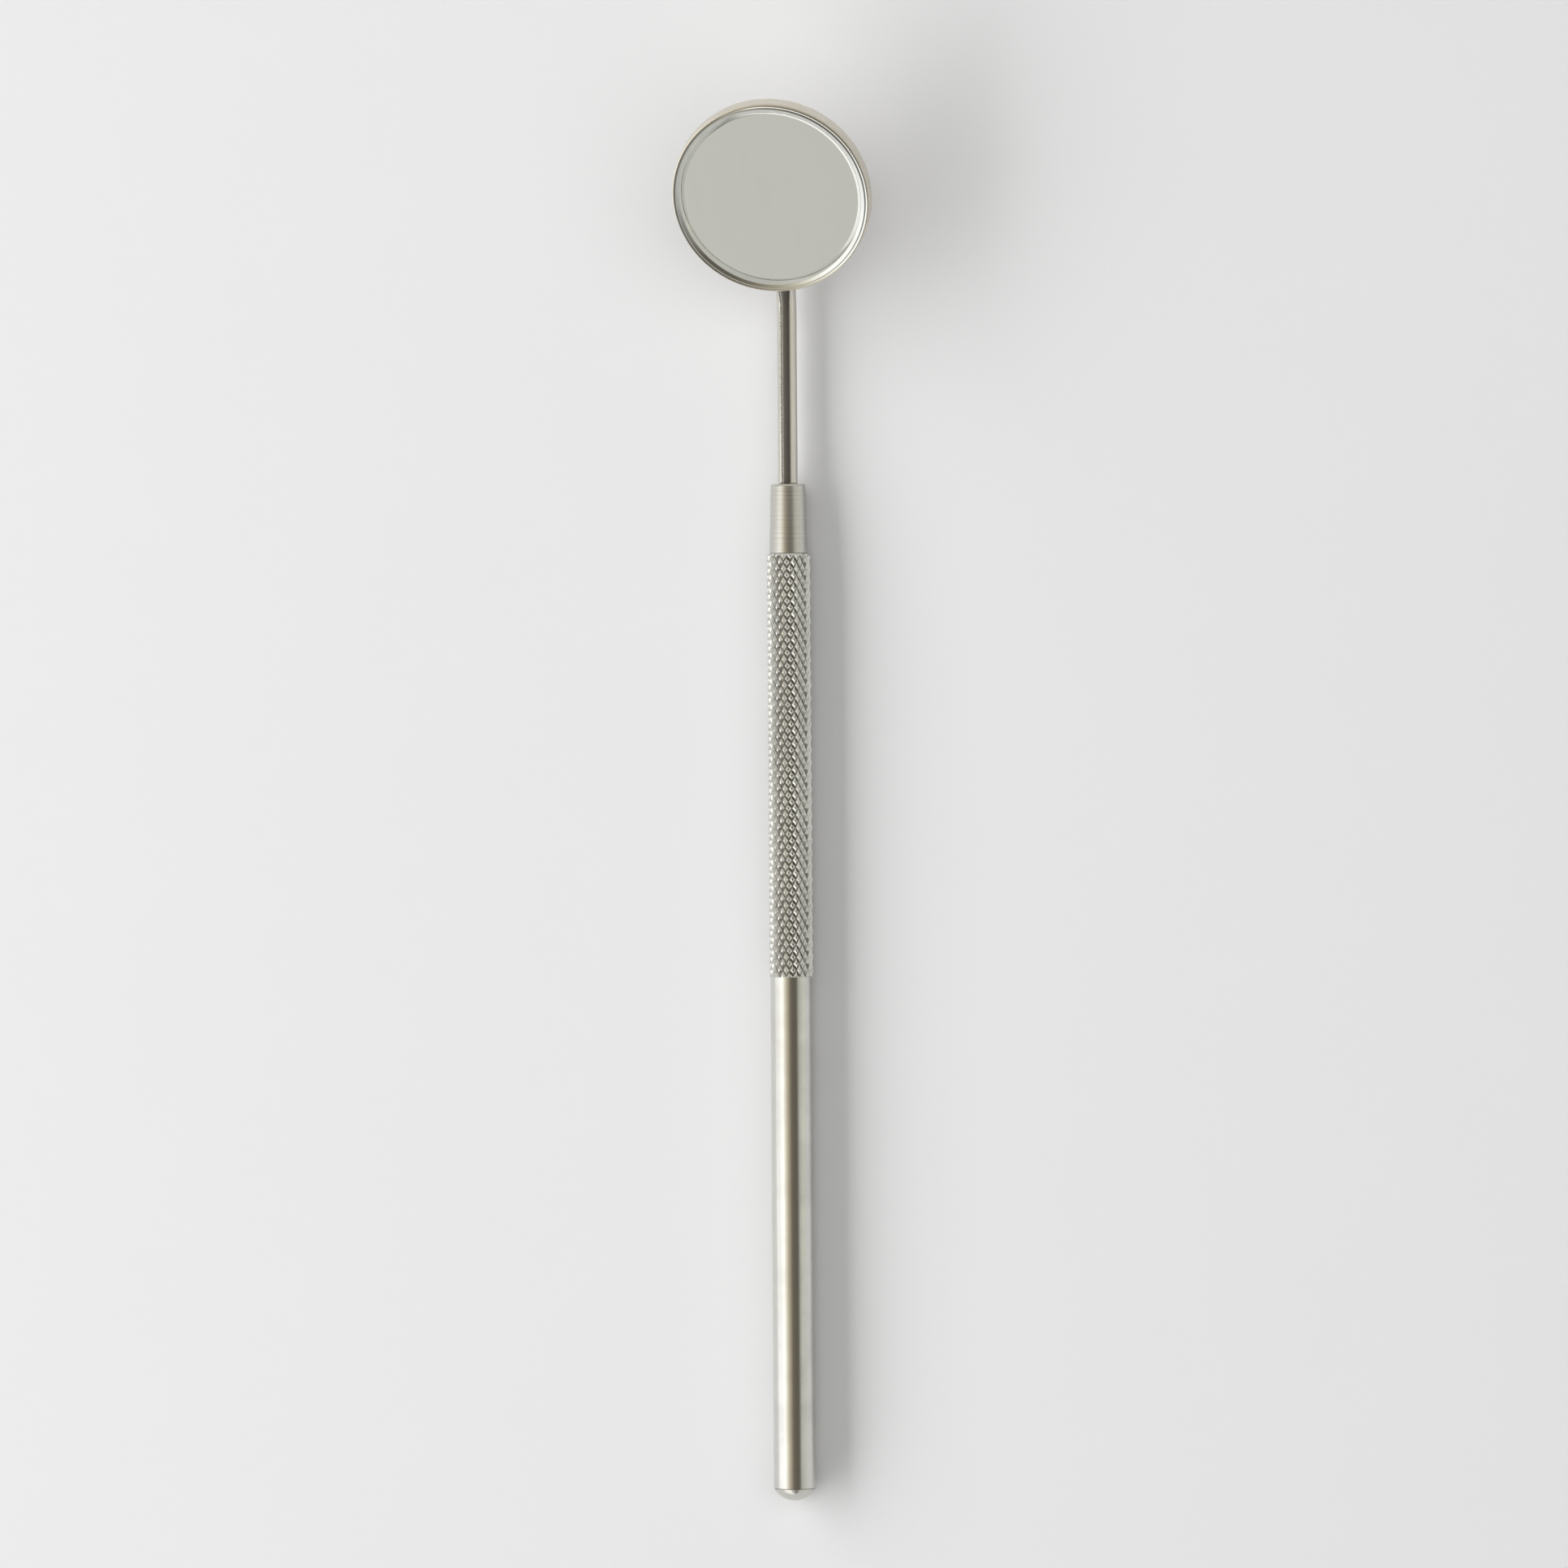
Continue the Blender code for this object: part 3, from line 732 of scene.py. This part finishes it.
def knurl_form():
    """Lays diamonds in staggered rows, trims them at both ends and rolls them round the handle."""
    tree, given, sockets = node_form(
        "knurl_rolling",
        {
            "Diamond": "NodeSocketGeometry",
            "Starts": "NodeSocketInt",
            "Rows": "NodeSocketInt",
            "Length": "NodeSocketFloat",
            "Crest radius": "NodeSocketFloat",
            "Depth": "NodeSocketFloat",
            "First angle": "NodeSocketFloat",
            "Front": "NodeSocketFloat",
            "Axis height": "NodeSocketFloat",
            "Material": "NodeSocketMaterial",
        },
    )
    rows_made = sums(tree, "ADD", given["Rows"], 1.0)
    count = sums(tree, "MULTIPLY", given["Starts"], rows_made)
    points = node(tree, "GeometryNodePoints", {"Count": count}).outputs[0]
    index = node(tree, "GeometryNodeInputIndex").outputs[0]
    column = sums(tree, "MODULO", index, given["Starts"])
    row = sums(tree, "FLOOR", sums(tree, "DIVIDE", index, given["Starts"]))
    stagger = sums(tree, "MULTIPLY", sums(tree, "MODULO", row, 2.0), 0.5)
    place = node(tree, "ShaderNodeCombineXYZ", {0: sums(tree, "ADD", column, stagger), 1: row})
    inputs = {"Geometry": points, "Position": place.outputs[0]}
    laid = node(tree, "GeometryNodeSetPosition", inputs).outputs[0]
    inputs = {"Points": laid, "Instance": given["Diamond"]}
    tiles = node(tree, "GeometryNodeInstanceOnPoints", inputs).outputs[0]
    sheet = node(tree, "GeometryNodeRealizeInstances", {"Geometry": tiles}).outputs[0]
    position = node(tree, "GeometryNodeInputPosition").outputs[0]
    parts = node(tree, "ShaderNodeSeparateXYZ", {0: position}).outputs
    early = sums(tree, "LESS_THAN", parts[1], 0.0)
    late = sums(tree, "GREATER_THAN", parts[1], given["Rows"])
    inputs = {"Geometry": sheet, "Selection": sums(tree, "ADD", early, late)}
    trimmed = node(tree, "GeometryNodeDeleteGeometry", inputs, domain="FACE").outputs[0]
    inputs = {"Geometry": trimmed, "Name": "groove", "Value": parts[2]}
    marked = node(tree, "GeometryNodeStoreNamedAttribute", inputs).outputs[0]
    turn = sums(tree, "DIVIDE", 2 * math.pi, given["Starts"])
    angle = sums(tree, "MULTIPLY_ADD", parts[0], turn, given["First angle"])
    sunk = sums(tree, "MULTIPLY", parts[2], given["Depth"])
    radius = sums(tree, "SUBTRACT", given["Crest radius"], sunk)
    across = sums(tree, "MULTIPLY", radius, sums(tree, "COSINE", angle))
    down = sums(tree, "MULTIPLY", radius, sums(tree, "SINE", angle))
    step = sums(tree, "DIVIDE", given["Length"], given["Rows"])
    back = sums(tree, "MULTIPLY", parts[1], step)
    rolled = node(
        tree,
        "ShaderNodeCombineXYZ",
        {
            0: across,
            1: sums(tree, "SUBTRACT", given["Front"], back),
            2: sums(tree, "SUBTRACT", given["Axis height"], down),
        },
    ).outputs[0]
    inputs = {"Geometry": marked, "Position": rolled}
    sleeve = node(tree, "GeometryNodeSetPosition", inputs).outputs[0]
    inputs = {"Geometry": sleeve, "Distance": WELD_DISTANCE}
    welded = node(tree, "GeometryNodeMergeByDistance", inputs).outputs[0]
    close_form(tree, welded, given["Material"])
    return tree, sockets


def toothed_edge_form():
    """Sets a tooth all round the rim's flange."""
    tree, given, sockets = node_form(
        "milled_edge",
        {
            "Tooth": "NodeSocketGeometry",
            "Count": "NodeSocketInt",
            "Radius": "NodeSocketFloat",
            "Top": "NodeSocketFloat",
            "Material": "NodeSocketMaterial",
        },
    )
    points = node(tree, "GeometryNodePoints", {"Count": given["Count"]}).outputs[0]
    index = node(tree, "GeometryNodeInputIndex").outputs[0]
    turn = sums(tree, "DIVIDE", sums(tree, "MULTIPLY", index, 2 * math.pi), given["Count"])
    across = sums(tree, "MULTIPLY", given["Radius"], sums(tree, "COSINE", turn))
    along = sums(tree, "MULTIPLY", given["Radius"], sums(tree, "SINE", turn))
    place = node(tree, "ShaderNodeCombineXYZ", {0: across, 1: along, 2: given["Top"]}).outputs[0]
    inputs = {"Geometry": points, "Position": place}
    laid = node(tree, "GeometryNodeSetPosition", inputs).outputs[0]
    euler = node(tree, "ShaderNodeCombineXYZ", {2: turn}).outputs[0]
    facing = node(tree, "FunctionNodeEulerToRotation", {0: euler}).outputs[0]
    inputs = {"Points": laid, "Instance": given["Tooth"], "Rotation": facing}
    teeth = node(tree, "GeometryNodeInstanceOnPoints", inputs).outputs[0]
    close_form(tree, teeth, given["Material"])
    return tree, sockets


def thread_form():
    """Winds a ridge round the stem's tail."""
    tree, given, sockets = node_form(
        "tail_thread",
        {
            "Seed": "NodeSocketGeometry",
            "Turns": "NodeSocketFloat",
            "Radius": "NodeSocketFloat",
            "Ridge": "NodeSocketFloat",
            "Length": "NodeSocketFloat",
            "Start": "NodeSocketVector",
            "Material": "NodeSocketMaterial",
        },
    )
    inputs = {
        "Resolution": 28,
        "Rotations": given["Turns"],
        "Start Radius": given["Radius"],
        "End Radius": given["Radius"],
        "Height": given["Length"],
    }
    helix = node(tree, "GeometryNodeCurveSpiral", inputs).outputs[0]
    inputs = {"Curve": helix}
    steady = node(tree, "GeometryNodeSetCurveNormal", inputs, mode="Z_UP").outputs[0]
    inputs = {"Resolution": 4, "Radius": given["Ridge"]}
    section = node(tree, "GeometryNodeCurvePrimitiveCircle", inputs).outputs[0]
    inputs = {"Curve": steady, "Profile Curve": section, "Fill Caps": True}
    ridge = node(tree, "GeometryNodeCurveToMesh", inputs).outputs[0]
    inputs = {
        "Geometry": ridge,
        "Translation": given["Start"],
        "Rotation": (math.pi / 2, 0.0, 0.0),
    }
    placed = node(tree, "GeometryNodeTransform", inputs).outputs[0]
    close_form(tree, placed, given["Material"])
    return tree, sockets


# ---------------------------------------------------------------- handle pieces


def open_loop(shape, front):
    """The edges of the open end at the front or the rear."""
    middle = NOSE_FRONT.y + (KNURL_FRONT + KNURL_REAR) / 2
    return [
        edge
        for edge in shape.edges
        if edge.is_boundary and (edge.verts[0].co.y > middle) == front
    ]


def carried_on(shape, front, steps, groove):
    """Continues an open end of the knurl over (radius, height) steps, each point at its angle."""
    for radius, height in steps:
        grown_on = bmesh.ops.extrude_edge_only(shape, edges=open_loop(shape, front))["geom"]
        for vert in (part for part in grown_on if isinstance(part, bmesh.types.BMVert)):
            spoke = Vector((vert.co.x, 0, vert.co.z - NOSE_FRONT.z)).normalized() * radius
            vert.co = Vector((spoke.x, NOSE_FRONT.y + height, NOSE_FRONT.z + spoke.z))
            vert[groove] = 0


def build_handle_tube(material):
    tree, sockets = knurl_form()
    values = {
        "Starts": KNURL_STARTS,
        "Rows": KNURL_ROWS,
        "Length": KNURL_LENGTH,
        "Crest radius": KNURL_CREST_RADIUS,
        "Depth": KNURL_DEPTH,
        "First angle": KNURL_FIRST_ANGLE,
        "Front": NOSE_FRONT.y + KNURL_FRONT,
        "Axis height": NOSE_FRONT.z,
        "Material": material,
    }
    knurl = grown("knurl_seed", diamond_tile(), tree, sockets, values)
    shape = bmesh.new()
    shape.from_mesh(knurl)
    groove = shape.verts.layers.float["groove"]
    lead_radius = KNURL_CREST_RADIUS - KNURL_DEPTH
    front_steps = eased(
        [
            (KNURL_CREST_RADIUS, KNURL_FRONT),
            (lead_radius, TUBE_FRONT, TUBE_EDGE),
            (BORE_RADIUS, TUBE_FRONT),
        ],
        steps=3,
    )[1:]
    rear_steps = eased(
        [
            (SHANK_RADIUS + KNURL_END_STEP, KNURL_REAR),
            (SHANK_RADIUS, SHANK_FRONT, TUBE_EDGE),
            (SHANK_RADIUS, SHANK_FRONT - SHANK_EVEN_FROM),
            (SHANK_RADIUS, TUBE_REAR, TUBE_EDGE),
            (BORE_RADIUS, TUBE_REAR),
        ],
        steps=3,
    )[1:]
    carried_on(shape, True, front_steps, groove)
    carried_on(shape, False, rear_steps, groove)
    bmesh.ops.bridge_loops(shape, edges=open_loop(shape, True) + open_loop(shape, False))
    bmesh.ops.recalc_face_normals(shape, faces=shape.faces)
    mesh = smooth_mesh(shape, "handle_tube", sharp=20)
    fit("knurled_handle_tube", mesh, material, "handle", "handle_tube")


def build_nose_collar(material):
    end = -NOSE_LENGTH - NOSE_SPIGOT_LENGTH
    socket_wall = []
    depth = -SOCKET_DEPTH + THREAD_PITCH
    while depth < -SOCKET_CHAMFER * 3:
        socket_wall += [
            (SOCKET_RADIUS, depth - THREAD_PITCH / 2),
            (SOCKET_RADIUS + SOCKET_THREAD_DEPTH, depth),
        ]
        depth += THREAD_PITCH
    profile = [
        (0, -SOCKET_DEPTH - SOCKET_DRILL_TIP),
        (SOCKET_RADIUS, -SOCKET_DEPTH),
        *socket_wall,
        (SOCKET_RADIUS, -SOCKET_CHAMFER),
        (SOCKET_RADIUS + SOCKET_CHAMFER, 0),
        (NOSE_FRONT_RADIUS - NOSE_EDGE, 0),
        (NOSE_FRONT_RADIUS, -NOSE_EDGE * 1.3, NOSE_EDGE_EASE),
        (NOSE_BASE_RADIUS - NOSE_BASE_DROP, -NOSE_LENGTH + NOSE_BASE_BREAK, NOSE_BREAK_EASE),
        (NOSE_BASE_RADIUS, -NOSE_LENGTH, NOSE_BASE_EASE),
        (SPIGOT_RADIUS, -NOSE_LENGTH),
        (SPIGOT_RADIUS, end + SPIGOT_CHAMFER),
        (SPIGOT_RADIUS - SPIGOT_CHAMFER, end),
        (0, end),
    ]
    mesh = smooth_mesh(turned(eased(profile), TURNED_SIDES, ON_HANDLE), "nose_collar")
    fit("turned_nose_collar", mesh, material, "handle", "nose_collar")


def build_end_plug(material):
    top = TUBE_REAR + PLUG_SPIGOT_LENGTH
    base = TUBE_REAR - SEAT_GAP
    dome_radius = (SHANK_RADIUS**2 + DOME_HEIGHT**2) / (2 * DOME_HEIGHT)
    dome_centre = base - DOME_HEIGHT + dome_radius
    dome_start = -math.acos(SHANK_RADIUS / dome_radius)
    radii = dome_radius, dome_radius
    dome = arc((0, dome_centre), radii, dome_start, -math.pi / 2, DOME_STEPS)
    dome[-1] = (0, dome[-1][1])
    profile = [
        (0, top),
        (SPIGOT_RADIUS - SPIGOT_CHAMFER, top),
        (SPIGOT_RADIUS, top - SPIGOT_CHAMFER),
        (SPIGOT_RADIUS, base),
        *((SHANK_RADIUS - below, base - past) for below, past in PLUG_EDGE),
        *dome[1:],
    ]
    mesh = smooth_mesh(turned(profile, TURNED_SIDES, ON_HANDLE), "end_plug")
    fit("domed_end_plug", mesh, material, "handle", "end_plug")


# ---------------------------------------------------------------- mirror unit


def foot_section(reach, half_width, half_thickness):
    """A section of the stem past its bend, with its top side along the back of the cup."""
    lift = STEM_RADIUS - half_thickness
    along = STEM_REACH + reach * math.cos(HEAD_TILT) - lift * math.sin(HEAD_TILT)
    rise = reach * math.sin(HEAD_TILT) + lift * math.cos(HEAD_TILT)
    return along, rise, HEAD_TILT, half_width, half_thickness


def stem_sections():
    """(distance along, rise, tilt, half width, half thickness) from the tail to the foot's tip."""
    core = THREAD_CORE_RADIUS
    plain = [
        (-TAIL_LENGTH, core - TAIL_CHAMFER),
        (-TAIL_LENGTH + TAIL_CHAMFER, core),
        (-NECK_START, core),
        (-NECK_FULL, core - NECK_DEPTH),
        (SEAT_GAP, core - NECK_DEPTH),
        *((SEAT_GAP + past, STEM_RADIUS - below) for past, below in ROD_EDGE),
        (STEM_REACH * 0.5, STEM_RADIUS),
    ]
    sections = [(along, 0, 0, radius, radius) for along, radius in plain]
    start = STEM_REACH - BEND_RADIUS * math.tan(HEAD_TILT / 2)
    for step in range(BEND_STEPS + 1):
        tilt = HEAD_TILT * step / BEND_STEPS
        along = start + BEND_RADIUS * math.sin(tilt)
        rise = BEND_RADIUS * (1 - math.cos(tilt))
        sections.append((along, rise, tilt, STEM_RADIUS, STEM_RADIUS))
    for step in range(FLATTEN_STEPS + 1):
        share = step / FLATTEN_STEPS
        blend = share * share * (3 - 2 * share)
        half_width = STEM_RADIUS + (FOOT_HALF_WIDTH - STEM_RADIUS) * blend
        half_thickness = STEM_RADIUS + (FOOT_HALF_THICKNESS - STEM_RADIUS) * blend
        reach = FLATTEN_START + FLATTEN_LENGTH * share
        sections.append(foot_section(reach, half_width, half_thickness))
    tip_start = FOOT_REACH + FOOT_PAST_CENTRE - FOOT_HALF_WIDTH
    for step in range(TIP_STEPS + 1):
        angle = math.pi / 2 * step / TIP_LAST_STEP
        half_width = FOOT_HALF_WIDTH * math.cos(angle)
        reach = tip_start + FOOT_HALF_WIDTH * math.sin(angle)
        half_thickness = FOOT_HALF_THICKNESS * (1 - TIP_THINNING * (step / TIP_STEPS) ** 3)
        sections.append(foot_section(reach, half_width, half_thickness))
    return sections


def build_stem(material):
    shape = bmesh.new()
    rings = []
    for along, rise, tilt, half_width, half_thickness in stem_sections():
        place = Matrix.Translation(NOSE_FRONT + Vector((0, along, rise)))
        place = place @ Matrix.Rotation(tilt, 4, "X")
        rings.append([])
        for turn in turns_round(STEM_SIDES):
            corner = Vector((half_width * math.cos(turn), 0, half_thickness * math.sin(turn)))
            rings[-1].append(shape.verts.new(place @ corner))
    skin(shape, rings, STEM_SIDES)
    shape.faces.new(rings[0])
    shape.faces.new(rings[-1])
    bmesh.ops.recalc_face_normals(shape, faces=shape.faces)
    tree, sockets = thread_form()
    values = {
        "Turns": THREAD_TURNS,
        "Radius": THREAD_CORE_RADIUS,
        "Ridge": THREAD_RIDGE,
        "Length": THREAD_TURNS * THREAD_PITCH,
        "Start": NOSE_FRONT + Vector((0, THREAD_START, 0)),
        "Material": material,
    }
    thread = grown("thread_seed", bpy.data.meshes.new("thread_seed"), tree, sockets, values)
    shape.from_mesh(thread)
    mesh = smooth_mesh(shape, "stem")
    fit("bent_stem", mesh, material, "mirror_unit", "stem")


def cup_side(inset, bottom):
    """The cup's side from the middle of its bottom up to its mouth, inset by the wall."""
    corner = CUP_CORNER - inset, bottom - CUP_WIDEST
    centre = CUP_RADIUS - CUP_CORNER, -CUP_WIDEST
    side = arc(centre, corner, -math.pi / 2, 0, CUP_CORNER_STEPS)
    for step in range(1, CUP_FLARE_STEPS + 1):
        share = step / CUP_FLARE_STEPS
        radius = CUP_RADIUS - inset - CUP_BULGE * share**2
        side.append((radius, -CUP_WIDEST + CUP_FLARE * share))
    return [(0, -bottom), (CUP_RADIUS * CUP_CENTRE_SHARE, -bottom), *side]


def build_mirror_cup(material):
    inside = cup_side(CUP_WALL, CUP_FLOOR_TOP)
    outside = cup_side(0, CUP_BOTTOM)
    mouth_radius, mouth = outside.pop()
    centre = mouth_radius - CUP_SHOULDER, mouth - CUP_SHOULDER
    radii = CUP_SHOULDER, CUP_SHOULDER
    outside += arc(centre, radii, 0, math.pi / 2, CUP_SHOULDER_STEPS)
    mesh = smooth_mesh(turned(inside + outside[::-1], HEAD_SIDES, ON_HEAD), "mirror_cup")
    fit("spun_mirror_cup", mesh, material, "mirror_unit", "mirror_cup")


def rim_tooth():
    """One tooth of the milled edge: a wedge that points out along X from the flange's side."""
    tooth = bmesh.new()
    half = math.pi * FLANGE_RADIUS / TOOTH_COUNT
    reach, width = TOOTH_CUT * TOOTH_SHOULDER[0], half * TOOTH_SHOULDER[1]
    foot = [(TOOTH_FOOT, -half), (TOOTH_FOOT, half)]
    outline = [*foot, (reach, width), (TOOTH_CUT, 0), (reach, -width)]
    bottom = MILLED_TOP - FLANGE_BOTTOM
    upper = [tooth.verts.new((x, y, (x - TOOTH_CUT) * FLANGE_FALL)) for x, y in outline]
    lower = [tooth.verts.new((x, y, bottom)) for x, y in outline]
    tooth.faces.new(upper)
    tooth.faces.new(lower[::-1])
    for index in range(len(outline)):
        after = (index + 1) % len(outline)
        tooth.faces.new((upper[after], upper[index], lower[index], lower[after]))
    bmesh.ops.recalc_face_normals(tooth, faces=tooth.faces)
    return plain_mesh(tooth, "rim_tooth")


def build_rim_ring(material):
    root_radius = FLANGE_RADIUS - TOOTH_CUT
    profile = [
        (LIP_RADIUS, -LIP_BOTTOM),
        *((radius, -depth) for radius, depth in LIP_SLOPE),
        (CREST_INNER_RADIUS, 0),
        (CREST_RADIUS, 0, CREST_EASE),
        (GROOVE_RADIUS, -GROOVE_DEPTH),
        (root_radius, -MILLED_TOP - TOOTH_CUT * FLANGE_FALL),
        (root_radius, -FLANGE_BOTTOM),
        (SKIRT_RADIUS, -FLANGE_BOTTOM),
        (SKIRT_RADIUS, -SKIRT_BOTTOM),
        (SKIRT_INNER_RADIUS, -SKIRT_BOTTOM),
        (SKIRT_INNER_RADIUS, -LIP_BOTTOM),
    ]
    shape = turned(eased(profile), RIM_SIDES, ON_HEAD, ring=True)
    tree, sockets = toothed_edge_form()
    values = {
        "Count": TOOTH_COUNT,
        "Radius": root_radius,
        "Top": -MILLED_TOP,
        "Material": material,
    }
    teeth = grown("tooth_seed", rim_tooth(), tree, sockets, values)
    teeth.transform(ON_HEAD)
    shape.from_mesh(teeth)
    mesh = smooth_mesh(shape, "rim_ring", sharp=24)
    fit("milled_rim_ring", mesh, material, "mirror_unit", "rim_ring")


def build_mirror_glass(material):
    profile = [
        (0, -GLASS_TOP),
        (GLASS_RADIUS - GLASS_BEVEL, -GLASS_TOP, GLASS_BEVEL_EASE),
        (GLASS_RADIUS, -GLASS_TOP - GLASS_BEVEL, GLASS_BEVEL_EASE),
        (GLASS_RADIUS, -GLASS_BOTTOM + GLASS_BEVEL),
        (GLASS_RADIUS - GLASS_BEVEL, -GLASS_BOTTOM),
        (0, -GLASS_BOTTOM),
    ]
    mesh = smooth_mesh(turned(eased(profile), HEAD_SIDES, ON_HEAD), "mirror_glass")
    fit("round_mirror_glass", mesh, material, "mirror_unit", "mirror_glass")


def solder_height(across, along):
    """How far the solder stands off the cup's back, beside and over the foot."""
    spread = math.hypot(
        across / SOLDER_HALF_WIDTH, (along - SOLDER_MIDDLE) / SOLDER_HALF_LENGTH
    )
    inward = 1 - min(1, spread)
    lens = SOLDER_THICKNESS * math.sqrt(max(0, 1 - spread**2))
    tip = FOOT_PAST_CENTRE - FOOT_HALF_WIDTH
    clear = max(0, math.hypot(across, max(0, along - tip)) - FOOT_HALF_WIDTH)
    climb = SOLDER_CLIMB * math.exp(-clear / SOLDER_CLIMB_REACH) * min(1, inward * 3)
    spot = Vector((across * SOLDER_LUMP_SCALE, along * SOLDER_LUMP_SCALE, SOLDER_LUMP_SEED))
    lump = noise.noise(spot) * SOLDER_LUMP
    return max(SOLDER_EDGE, lens + climb + lump * min(1, inward * 5))


def build_solder_fillet(material):
    """A frozen pool of solder with a meniscus on the foot's sides."""
    shape = bmesh.new()
    base = -CUP_BOTTOM - SEAT_GAP

    def corner(across, along, height):
        return shape.verts.new(ON_HEAD @ Vector((across, along, base - height)))

    def pool_ring(share, level=None):
        row = []
        for turn in turns_round(SOLDER_SIDES):
            across = SOLDER_HALF_WIDTH * share * math.cos(turn)
            along = SOLDER_MIDDLE + SOLDER_HALF_LENGTH * share * math.sin(turn)
            height = solder_height(across, along) if level is None else level
            row.append(corner(across, along, height))
        return row

    rows = [[corner(0, SOLDER_MIDDLE, solder_height(0, SOLDER_MIDDLE))]]
    for ring in range(1, SOLDER_RINGS):
        rows.append(pool_ring(math.sin(math.pi / 2 * ring / SOLDER_RINGS)))
    rows += [pool_ring(1, SOLDER_EDGE), pool_ring(1, 0)]
    skin(shape, rows, SOLDER_SIDES)
    shape.faces.new(rows[-1])
    bmesh.ops.recalc_face_normals(shape, faces=shape.faces)
    mesh = smooth_mesh(shape, "solder_fillet", sharp=60)
    fit("solder_pool", mesh, material, "mirror_unit", "solder_fillet")


# ---------------------------------------------------------------- studio


def build_table(material):
    shape = bmesh.new()
    bmesh.ops.create_grid(shape, x_segments=2, y_segments=2, size=TABLE_SIZE)
    table = add_object("table", plain_mesh(shape, "table"), material)


def add_softbox(name, direction, distance, width, height, strength, colour):
    """An area light that faces the mirror from a direction, and that the metal doesn't reflect."""
    light = bpy.data.lights.new(name, "AREA")
    light.shape = "RECTANGLE"
    light.size, light.size_y = width, height
    light.energy = strength * width * height * math.pi
    light.color = colour
    lamp = bpy.data.objects.new(name, light)
    lamp.location = Vector(direction).normalized() * distance
    lamp.rotation_euler = (-lamp.location).to_track_quat("-Z", "Y").to_euler()
    lamp.visible_glossy = False
    bpy.context.scene.collection.objects.link(lamp)


def room_band(tree, across, stops):
    """A band of the room, from the window's side, over the top, to the other side."""
    band = node(tree, "ShaderNodeValToRGB", {"Fac": across})
    elements = band.color_ramp.elements
    for index, (degrees, colour) in enumerate(stops):
        stop = elements[0] if index == 0 else elements.new((degrees + 90) / 180)
        stop.color = (*(part / ROOM_PEAK for part in colour), 1)
    elements.remove(elements[-1])
    return band.outputs[0]


def build_studio_air():
    """The room that the metal and the glass reflect: bright by the window, dim overhead, where the
    camera and its stand are, and pale on the other side. It doesn't light the table.
    """
    world = bpy.data.worlds.new("studio")
    bpy.context.scene.world = world
    world.use_nodes = True
    world.cycles_visibility.diffuse = False
    tree = world.node_tree
    sky = tree.nodes["Background"]
    direction = node(tree, "ShaderNodeTexCoord").outputs["Generated"]
    parts = node(tree, "ShaderNodeSeparateXYZ", {0: direction}).outputs
    sideways = sums(tree, "ARCTAN2", parts[0], parts[2])
    lengthways = sums(tree, "ARCTAN2", parts[1], parts[2])
    inputs = {"Value": sideways, "From Min": -math.pi / 2, "From Max": math.pi / 2}
    across = node(tree, "ShaderNodeMapRange", inputs).outputs[0]
    front = share_between(tree, lengthways, FRONT_STARTS, FRONT_FULL)
    back = share_between(tree, lengthways, BACK_STARTS, BACK_FULL)
    over_handle = room_band(tree, across, ROOM_BAND)
    inputs = {"Factor": front, "A": over_handle, "B": room_band(tree, across, FRONT_BAND)}
    room = mixed(tree, inputs)
    far = (*(part / ROOM_PEAK for part in BACK_WALL), 1)
    back = sums(tree, "MULTIPLY", back, BACK_WALL_SHARE)
    room = mixed(tree, {"Factor": back, "A": room, "B": far})
    feed(tree, sky.inputs["Color"], room)
    sky.inputs["Strength"].default_value = ROOM_PEAK


def build_camera():
    camera = bpy.data.cameras.new("photo_camera")
    camera.sensor_width = SENSOR_MILLIMETRES
    camera.lens = PIXELS_PER_METRE * CAMERA_DISTANCE * camera.sensor_width / PHOTO_PIXELS
    camera.clip_start, camera.clip_end = 0.01, 20
    away = Vector((math.sin(CAMERA_SIDE), 0, math.cos(CAMERA_SIDE)))
    level = Vector((math.cos(CAMERA_SIDE), 0, -math.sin(CAMERA_SIDE)))
    along = Vector((0, 1, 0))
    right = level * math.cos(CAMERA_LEAN) - along * math.sin(CAMERA_LEAN)
    up = level * math.sin(CAMERA_LEAN) + along * math.cos(CAMERA_LEAN)
    eye = FRAMED_POINT + away * CAMERA_DISTANCE
    placed = Matrix((right, up, away)).transposed().to_4x4()
    placed.translation = eye
    holder = bpy.data.objects.new("photo_camera", camera)
    holder.matrix_world = placed
    bpy.context.scene.collection.objects.link(holder)
    bpy.context.scene.camera = holder


# ---------------------------------------------------------------- the mouth mirror

bpy.context.scene.view_settings.view_transform = "Standard"
build_camera()
build_handle_tube(tube_finish())
build_nose_collar(nose_finish())
build_end_plug(plug_finish())
build_stem(stem_finish())
build_mirror_cup(cup_finish())
build_solder_fillet(solder_finish())
build_rim_ring(rim_finish())
build_mirror_glass(mirror_finish())
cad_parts["cushion_disc"].material_slots[0].material = board_finish()

build_table(table_finish())
for softbox in SOFTBOXES:
    add_softbox(*softbox)
build_studio_air()
